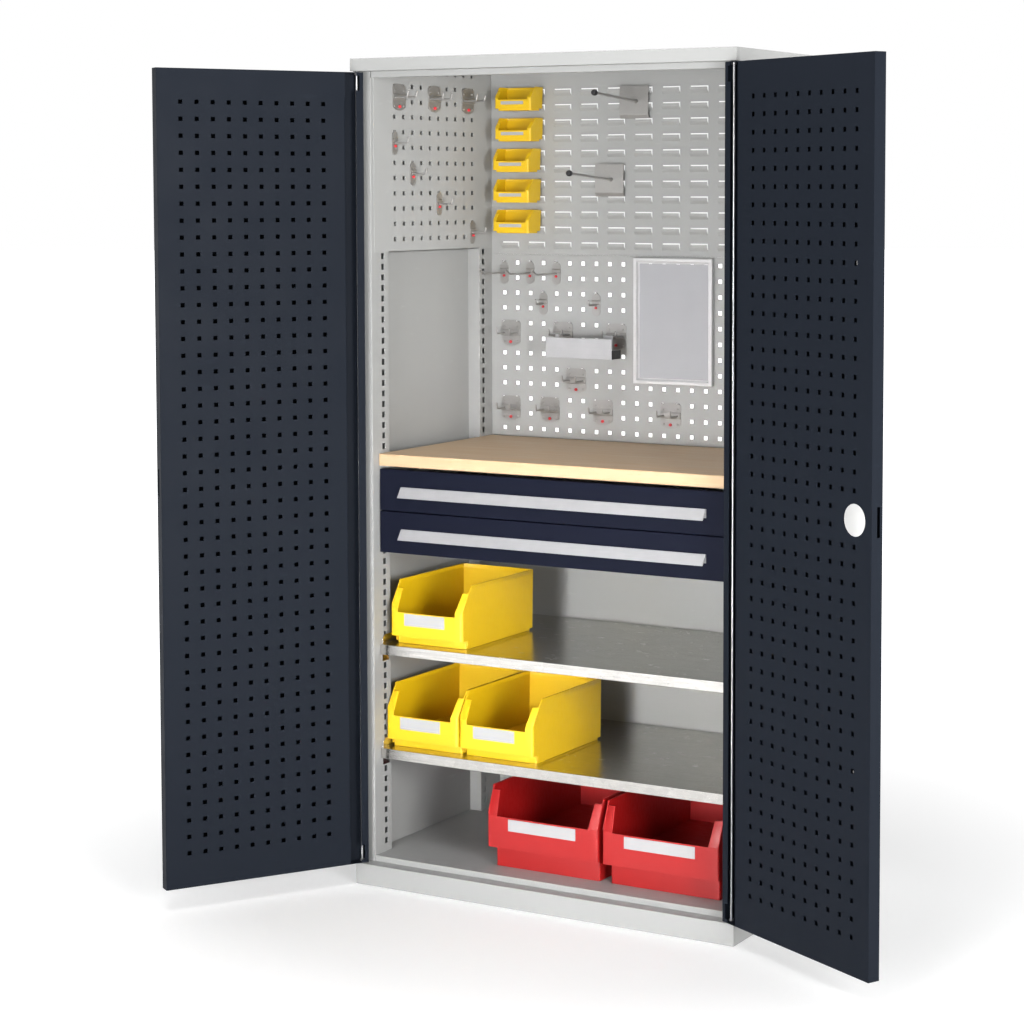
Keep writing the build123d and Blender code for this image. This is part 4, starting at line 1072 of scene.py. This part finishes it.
@dataclass
class WallHooks:
    """Hooks on the left side panel and on the perforated back."""

    side_x: float = -464.5

    def on_back(self, shape: Shape, column: int, row: int) -> Shape:
        """Hook taken to a raster cell of the back panel."""
        return shape.moved(BACK_FIRST[0] + PITCH * column, PANEL_Y, BACK_FIRST[1] - PITCH * row)

    def on_side(self, shape: Shape, column: int, row: int) -> Shape:
        """Hook turned to the left side panel and taken to its cell."""
        y, z = SIDE_FIRST
        quarter = shape.turned_about_z(90.0, (0.0, 0.0))
        return quarter.moved(self.side_x, y + PITCH * column, z + SIDE_PITCH * row)

    def group(self, node: str, hooks: list[tuple[Hook, int, int]], side: bool) -> None:
        """Make one node's hooks and their red buttons.

        Args:
            node: CAD node that holds these hooks.
            hooks: hook, column and row of each.
            side: whether they hang on the side panel.
        """
        place = self.on_side if side else self.on_back
        steel = merged([place(merged([h.plate(), h.arms(), h.lugs()]), c, r) for h, c, r in hooks])
        red = merged([place(h.dot(), c, r) for h, c, r in hooks])
        attach(made(node + "_steel", steel, HOOK_PLATE, Ease(0.3, 2, 50)), node)
        attach(made(node + "_buttons", red, RED_DOT), node, False)

    def build(self) -> None:
        """Make the four groups of hooks."""
        self.group("side_double_hooks", [(DOUBLE_HOOK, c, 10) for c in (0, 4, 8)], True)
        stair = ((0, 7), (2, 5), (5, 3), (9, 1))
        self.group("side_single_hooks", [(SINGLE_HOOK, c, r) for c, r in stair], True)
        singles = [(LONG_HOOK, c, 0) for c in (0, 2, 4)] + [(SINGLE_HOOK, c, 2) for c in (3, 7)]
        self.group("back_single_hooks", singles, False)
        cells = ((0, 4), (5, 7), (0, 9), (3, 9), (7, 9), (12, 9), (4, 4), (8, 4))
        self.group("back_double_hooks", [(DOUBLE_HOOK, c, r) for c, r in cells], False)


def louvre_lip(x0: float, x1: float, z_open: float) -> Shape:
    """Lip that hangs a fitting over one louvre, from the fitting's back to behind the tongue."""
    rim = z_open - 3.0
    bridge = box((x0, x1), (HUNG_BACK - 0.5, 263.3), (rim + 0.4, rim + 2.4))
    return bridge.joined(box((x0, x1), (261.8, 263.3), (rim - 5, rim + 1)))


@dataclass(frozen=True)
class ToolRod:
    """One rod on a creased plate: left edge of the plate, slit of its louvre, ends of its lip."""

    x: float
    z_open: float
    lip: Span
    width: float = 80.0
    across: float = 46.0
    root_z: float = -35.0
    tip_y: float = 48.0
    tip_z: float = -21.0
    radius: float = 3.0
    front: float = 253.1

    @property
    def ends(self) -> tuple[Array, Array]:
        """Root and tip of the rod."""
        x = self.x + self.across
        root = np.array([x, self.front + 0.5, self.z_open + self.root_z])
        return root, np.array([x, self.tip_y, self.z_open + self.tip_z])

    def steel(self) -> Shape:
        """Plate that leans back above its crease and turns in at its foot, with rod, collar and lip."""
        section = np.array([[2.2, 3.0], [0.0, -29.0], [0.0, -67.0], [5.6, -77.0]]) + [self.front, self.z_open]
        plate = prism(sheet_outline(section, 1.5, 1.5), Axis.X, self.x, self.x + self.width)
        root, tip = self.ends
        rod = wire(np.array([root, tip]), self.radius, 1.0, TOWARDS_RIGHT, 14)
        collar = turned([[5.0, 0], [5.0, 1.5], [3.9, 3.5], [3.0, 5]], root, tip - root, 20)
        return merged([plate, rod, collar, louvre_lip(*self.lip, self.z_open)])

    def knob(self) -> Shape:
        """Rounded black knob on the rod's tip."""
        root, tip = self.ends
        side = [[5.4, 6.2], [6.9, 4.2], [7.4, 1.5]]
        profile = [[3.2, -7]] + [[r, -h] for r, h in side] + side[::-1] + [[2.5, 7]]
        return turned(profile, tip, tip - root, 24)


@dataclass
class BackFittings:
    """Rod tool holders, pen tray and drawing board on the back panels."""

    rods: tuple[ToolRod, ...] = (
        ToolRod(-90.0, 1896.0, (-50.0, -12.0)),
        ToolRod(-159.0, 1706.0, (-126.0, -82.0)),
    )
    board: tuple[Span, ...] = ((-50.0, 166.0), (1172.0, 1480.0))

    def holders(self) -> None:
        """Two steel plates with a rod and a black knob each."""
        steel = merged([rod.steel() for rod in self.rods])
        knobs = merged([rod.knob() for rod in self.rods])
        attach(made("rod_holder_steel", steel, HOOK_PLATE, Ease(0.3, 2, 50)), "rod_tool_holders")
        attach(made("rod_holder_knobs", knobs, BLACK), "rod_tool_holders", False)

    def tray(self) -> None:
        """Folded trough with its dark end cheeks."""
        eased_copy("pen_tray", ALUMINIUM, Ease(0.4))
        outline = eased_loop(rectangle((176.3, 221.7), (1233.8, 1255.2)), 2.0, 3)
        cheeks = [prism(outline, Axis.X, x, x + 2.4) for x in (-70.9, -254.2)]
        attach(made("pen_tray_cheeks", merged(cheeks), BLACK, Ease(0.3)), "pen_tray", False)

    def moulding(self) -> Shape:
        """Mitred frame round the drawing board.

        The section (u, y) is lofted round the four corners, u being the distance inwards from the
        outer edge: a flat face on the front and an inner side that slopes down to the sheet.
        """
        (left, right), (low, high) = [tuple(zip(span, (1, -1))) for span in self.board]
        front = [[0, 251.3], [1.3, 250], [7.5, 250], [8.8, 251], [11.5, 257.2], [14, 257.5]]
        u, y = np.array([[0, 262]] + front + [[14, 262]]).T
        corners = ((left, low), (right, low), (right, high), (left, high), (left, low))
        rings = [np.stack([x + sx * u, y, z + sz * u], axis=-1) for (x, sx), (z, sz) in corners]
        return loft(np.array(rings), capped=False)

    def build(self) -> None:
        """Make rods, tray and board."""
        self.holders()
        self.tray()
        board = made("drawing_board_moulding", self.moulding(), FRAME_SATIN, Ease(0.3, 2, 40))
        attach(board, "drawing_board_frame")
        eased_copy("drawing_sheet", PAPER, Ease(0.1, 1))


# ------------------------------------------------------------------ bins
@dataclass(frozen=True)
class BinSize:
    """Outer sizes of an open-fronted stacking bin."""

    width: float
    depth: float
    height: float
    lip: float
    low: float
    slope: float
    post_top: float
    post: float
    foot: float
    foot_in: float
    foot_back: float
    side_low: float
    wall: float
    rim: float
    corner: float
    label: tuple[float, float, float, float]


@dataclass
class OpenBin:
    """One open-fronted bin, front at y = 0 and foot on z = 0."""

    size: BinSize

    def slant(self, y: float | Array) -> float | Array:
        """Height of the sides' front edge at depth y: low + (height - low) y / slope."""
        s = self.size
        return s.low + (s.height - s.low) * np.clip(y / s.slope, 0.0, 1.0)

    def front(self) -> Shape:
        """Front wall, carried round both corners.

        The path runs along the outer face: a quarter circle, the straight front and a quarter
        circle. Its inner partner lies one wall thickness inside, and the top follows the slant,
        except between the posts, where it drops to the lip.
        """
        s = self.size
        half, t, r = s.width / 2, s.wall, s.corner
        angle = np.linspace(0.0, np.pi / 2, 7)
        outer = np.stack([half - r + r * np.cos(angle), r - r * np.sin(angle)], 1)
        inner = np.stack([half - r + (r - t) * np.cos(angle), r - (r - t) * np.sin(angle)], 1)
        ends = np.array([[half - s.post, 0.0], [half - s.post, 0.0]])
        outer = np.concatenate([outer, ends])
        inner = np.concatenate([inner, ends + [0.0, t]])
        top = np.append(self.slant(outer[:-1, 1]), s.lip)
        outer = np.concatenate([outer, outer[::-1] * [-1, 1]])
        inner = np.concatenate([inner, inner[::-1] * [-1, 1]])
        top = np.concatenate([top, top[::-1]])[:, None]
        base = np.full_like(top, s.foot)
        edges = ((outer, base), (outer, top), (inner, top), (inner, base))
        return loft(np.stack([np.hstack(edge) for edge in edges], 1))

    def walls(self) -> Shape:
        """Floor, back and side walls; behind the foot's set-back they come down to side_low."""
        s = self.size
        half, t = s.width / 2, s.wall
        y0 = s.corner - 0.3
        side = [[y0, s.foot], [y0, self.slant(y0)], [s.slope, s.height - 0.6], [s.depth, s.height - 0.6]]
        side.append([s.depth - 4, s.side_low])
        if s.side_low < s.foot:
            side += [[s.foot_back, s.side_low], [s.foot_back, s.foot]]
        side = np.array(side)
        sides = [prism(side, Axis.X, x, x + t) for x in (-half, half - t)]
        x, y = half - 0.4, s.depth - 4.4
        plan = rectangle((-x, x), (0.4, y))
        floor = prism(eased_loop(plan, s.corner - 0.4, 5), Axis.Z, s.foot + 0.1, s.foot + t)
        low, high = s.side_low + 0.2, s.height - 1.2
        back = np.array([[-4 - t, low], [-4.1, low], [-0.1, high], [-t, high]]) + [s.depth, 0]
        rear = prism(back, Axis.X, -half + t / 2, half - t / 2)
        return merged(sides + [floor, rear])

    def posts(self) -> Shape:
        """Front posts: flanges that follow the corner and lean back with the sides."""
        s = self.size
        half, t, r = s.width / 2, s.wall, s.corner
        lean = s.slope * (s.post_top - s.low) / (s.height - s.low)
        c = 0.29 * r
        outside = [[-s.post, 0.05], [-r, 0.05], [-c, c + 0.05], [-0.05, r]]
        inside = [[-t, r + 1], [-c - t, c + t], [-r, 1.7 * t], [-s.post, 1.7 * t]]
        plan = np.array(outside + inside) + [half, 0]
        inward = np.array([1.0, 0.4, 0, 0, 0, 0, 0.4, 1.0]) * 0.2 * s.post
        levels = ((0.0, s.lip - 3, 0.0), (0.0, s.low, 0.0), (lean, s.post_top, 1.0))
        rings = [
            np.column_stack([plan[:, 0] + narrow * inward, plan[:, 1] + y, np.full(8, z)])
            for y, z, narrow in levels
        ]
        right = loft(np.stack(rings))
        return right.joined(right.mirrored())

    def band(self) -> Shape:
        """Rim band along the sides and back.

        At each path point p with outward direction n the section is the rectangle between
        p + rim*n and p - (wall + 0.5)*n, from the top down by the band's height.
        """
        s = self.size
        half = s.width / 2
        start = s.slope * (s.height - 3 - s.low) / (s.height - s.low)
        side = [[half, start, s.height - 3], [half, s.slope + 1.5, s.height], [half, s.depth - 8, s.height],
                [half - 2.4, s.depth - 2.4, s.height], [half - 8, s.depth, s.height]]
        path = np.array(side + [[-p[0], p[1], p[2]] for p in side[::-1]])
        out = np.array([[1, 0, 0]] * 3 + [[0.75, 0.75, 0], [0, 1, 0]], float)
        out = np.concatenate([out, (out * np.array([-1, 1, 1]))[::-1]])
        drop = np.array([0, 0, max(5.0, 0.065 * s.height)])
        inside = path - out * (s.wall + 0.5)
        rings = np.stack([path + out * s.rim, inside, inside - drop, path + out * s.rim - drop], axis=1)
        return loft(rings)

    def stand(self) -> Shape:
        """Set-back foot as a block of rounded outline."""
        s = self.size
        half = s.width / 2 - s.foot_in
        rear = s.depth - s.foot_in - 4
        outline = eased_loop(rectangle((-half, half), (s.foot_back, rear)), 5.0, 4)
        return prism(outline, Axis.Z, 0.0, s.foot + 0.4)

    def holder(self) -> Shape:
        """Raised frame round the label."""
        x0, x1, z0, z1 = self.size.label
        edge = 1.2
        sill = ((x0 - edge, x1 + edge), (z0 - edge, z0))
        bars = (sill, ((x0 - edge, x0), (z0, z1)), ((x1, x1 + edge), (z0, z1)))
        return merged([box(x, (-0.7, 0.6), z) for x, z in bars])

    def card(self) -> Shape:
        """Blank label card."""
        x0, x1, z0, z1 = self.size.label
        return box((x0, x1), (-0.45, 0.1), (z0, z1))

    def body(self) -> Shape:
        """Whole moulding."""
        return merged([self.front(), self.walls(), self.posts(), self.band(), self.stand(), self.holder()])


YELLOW_BIN = BinSize(202, 322, 150, 78, 88, 40, 131, 21, 21, 4, 24, 6, 2.6, 1.0, 7, (-62, 51, 47, 75.5))
RED_BIN = BinSize(
    296, 440, 191.5, 124, 125.5, 28, 180.5, 26, 50, 9, 25, 50, 3.0, 1.2, 5, (-91.5, 89, 93, 120.5)
)
SMALL_BIN = BinSize(104, 60, 58, 27, 31, 22, 47, 10, 5, 4, 8, 5, 1.8, 0.7, 4, (-34, 31, 15, 23))


@dataclass
class Bins:
    """Five shelf bins and five small ones hung on the louvres."""

    rise: float = 4.0
    shelves: tuple[tuple[str, float, float], ...] = (
        ("upper_shelf", -345.5, 568.4),
        ("lower_shelf_left", -359.0, 318.4),
        ("lower_shelf_right", -154.0, 318.4),
    )
    floor: tuple[tuple[str, float], ...] = (("left", -30.0), ("right", 277.5))

    def shelf_bin(self, node: str, size: BinSize, finish: Finish, place: Point) -> None:
        """Make one shelf bin and its label at the place of its front foot."""
        one = OpenBin(size)
        attach(made(node + "_moulding", one.body().moved(*place), finish, Ease(0.5, 2, 40)), node)
        attach(made(node + "_label", one.card().moved(*place), LABEL), node, False)

    def hanging(self) -> None:
        """Make the five small bins with hooked backs."""
        one = OpenBin(SMALL_BIN)
        bodies, cards = [], []
        for row in range(5):
            x = -360.0 if row < 2 else -366.5
            z_open = LOUVRE_FIRST[1] + PITCH * (10 - 2 * row)
            place = (x, HUNG_BACK - SMALL_BIN.depth, z_open + self.rise - SMALL_BIN.height)
            bodies.append(one.body().moved(*place))
            bodies.append(louvre_lip(-352.0, -318.0, z_open))
            cards.append(one.card().moved(*place))
        attach(made("hanging_bins_moulding", merged(bodies), YELLOW, Ease(0.4, 2, 40)), "hanging_bins")
        attach(made("hanging_bins_labels", merged(cards), LABEL), "hanging_bins", False)

    def build(self) -> None:
        """Make every bin."""
        for name, x, z in self.shelves:
            self.shelf_bin(f"yellow_bin_{name}", YELLOW_BIN, YELLOW, (x, -226.0, z))
        for name, x in self.floor:
            self.shelf_bin(f"red_bin_{name}", RED_BIN, RED, (x, -224.5, 64.4))
        self.hanging()


# ------------------------------------------------------------------ studio
@dataclass(frozen=True)
class Lamp:
    """Square soft box in metres and watts, aimed at a point; the spread is in degrees."""

    name: str
    place: Point
    target: Point
    size: float
    power: float
    spread: float = 180.0

    def build(self) -> None:
        """Make the lamp."""
        light = bpy.data.lights.new(self.name, "AREA")
        light.shape = "SQUARE"
        light.size = self.size
        light.energy = self.power
        light.spread = math.radians(self.spread)
        lamp = linked(self.name, light)
        lamp.location = self.place
        aim = Vector(self.target) - Vector(self.place)
        lamp.rotation_euler = aim.to_track_quat("-Z", "Y").to_euler()


@dataclass
class Studio:
    """Pale floor, soft lights and the camera."""

    place: Point = (2.7803, -4.9435, 1.6500)
    yaw: float = 29.03
    pitch: float = 4.03
    lens: float = 84.99
    shift: Span = (-0.10, -0.15)
    front_sky: float = 0.33
    zenith_sky: float = 0.6
    floor_sides: int = 96
    floor_drop: float = 0.0008
    floor_tones: tuple[tuple[float, ...], ...] = ((0.86, 0.86, 0.865, 1), (0.88, 0.88, 0.88, 1))
    lamps: tuple[Lamp, ...] = (
        Lamp("key", (-2.3, -5.4, 2.9), (0, 0, 0.9), 0.7, 16.0),
        Lamp("front", (0.9, -6.2, 1.2), (0, 0, 0.9), 1.3, 148.0),
        Lamp("overhead", (0.3, -2.6, 4.6), (0, -0.2, 0.9), 1.2, 50.0),
        Lamp("side", (5.0, -3.3, 1.5), (-0.4, 0, 1.0), 2.0, 320.0),
        Lamp("low", (0.5, -6.0, 0.9), (0.05, 0, 0.5), 1.0, 5.0, 22.0),
    )

    def floor(self) -> None:
        """Round pale floor that fades into the bright surroundings."""
        angle = np.linspace(0, 2 * np.pi, self.floor_sides, endpoint=False)
        radii = np.concatenate([np.linspace(50, 4000, 20), np.geomspace(5000, 60000, 12)])[:, None]
        rings = np.stack([radii * np.cos(angle), radii * np.sin(angle), 0 * radii * angle], -1)
        shape = loft(rings, False)
        shape.faces.append(list(range(self.floor_sides)))
        graph = Graph("studio floor")
        away = graph.add("ShaderNodeVectorMath", Vector=graph.place)
        away.operation = "LENGTH"
        fade = graph.spread(away.outputs["Value"], 0.8, 3.2, 0.18, 1.0)
        graph.base(graph.blend(graph.noise(1.5), *self.floor_tones))
        graph.rough(0.7)
        graph.shader.inputs["Emission Color"].default_value = (1, 1, 1, 1)
        graph.put(graph.shader.inputs["Emission Strength"], fade)
        mesh = mesh_of("studio_floor", shape.points * MM - np.array([0, 0, self.floor_drop]), shape.faces)
        piece = linked("studio_floor", mesh)
        mesh.materials.append(graph.material)

    def camera(self) -> None:
        """Camera at the viewing angle."""
        data = bpy.data.cameras.new("camera")
        data.lens = self.lens
        data.sensor_width = 36.0
        data.shift_x, data.shift_y = self.shift
        data.clip_end = 200.0
        camera = linked("camera", data)
        camera.location = self.place
        camera.rotation_euler = (math.radians(90 - self.pitch), 0.0, math.radians(self.yaw))
        bpy.context.scene.camera = camera

    def surroundings(self) -> None:
        """White surroundings that darken towards the front and the zenith.

        The brightness is 1 behind the object and falls evenly to the front value on its -Y side;
        from 0.3 of the way up it falls again towards the zenith.
        """
        world = bpy.data.worlds.new("surroundings")
        world.use_nodes = True
        tree = world.node_tree
        back = tree.nodes["Background"]
        where = tree.nodes.new("ShaderNodeTexCoord")
        parts = tree.nodes.new("ShaderNodeSeparateXYZ")
        tree.links.new(parts.inputs["Vector"], where.outputs["Generated"])
        both = tree.nodes.new("ShaderNodeMath")
        both.operation = "MULTIPLY"
        falls = ((0, "Y", (-0.5, 0.3, self.front_sky, 1.0)), (1, "Z", (0.3, 1.0, 1.0, self.zenith_sky)))
        for slot, way, values in falls:
            fall = tree.nodes.new("ShaderNodeMapRange")
            tree.links.new(fall.inputs["Value"], parts.outputs[way])
            for name, value in zip(("From Min", "From Max", "To Min", "To Max"), values):
                fall.inputs[name].default_value = value
            tree.links.new(both.inputs[slot], fall.outputs["Result"])
        tree.links.new(back.inputs["Color"], both.outputs["Value"])
        back.inputs["Strength"].default_value = 1.0
        bpy.context.scene.world = world
        bpy.context.scene.view_settings.view_transform = "Standard"
        bpy.context.scene.view_settings.look = "None"

    def build(self) -> None:
        """Set up floor, lights, surroundings and camera."""
        self.floor()
        self.surroundings()
        for lamp in self.lamps:
            lamp.build()
        self.camera()


def main() -> None:
    """Build every sub-assembly in order."""
    logging.basicConfig(level=logging.INFO, format="%(name)s %(message)s")
    parts = (Carcass, HookPanels, Worktop, DrawerStack, Shelving, Doors, WallHooks, BackFittings, Bins)
    for part in parts:
        LOG.info("building %s", part.__name__)
        part().build()
    Studio().build()


if __name__ == "__main__":
    main()
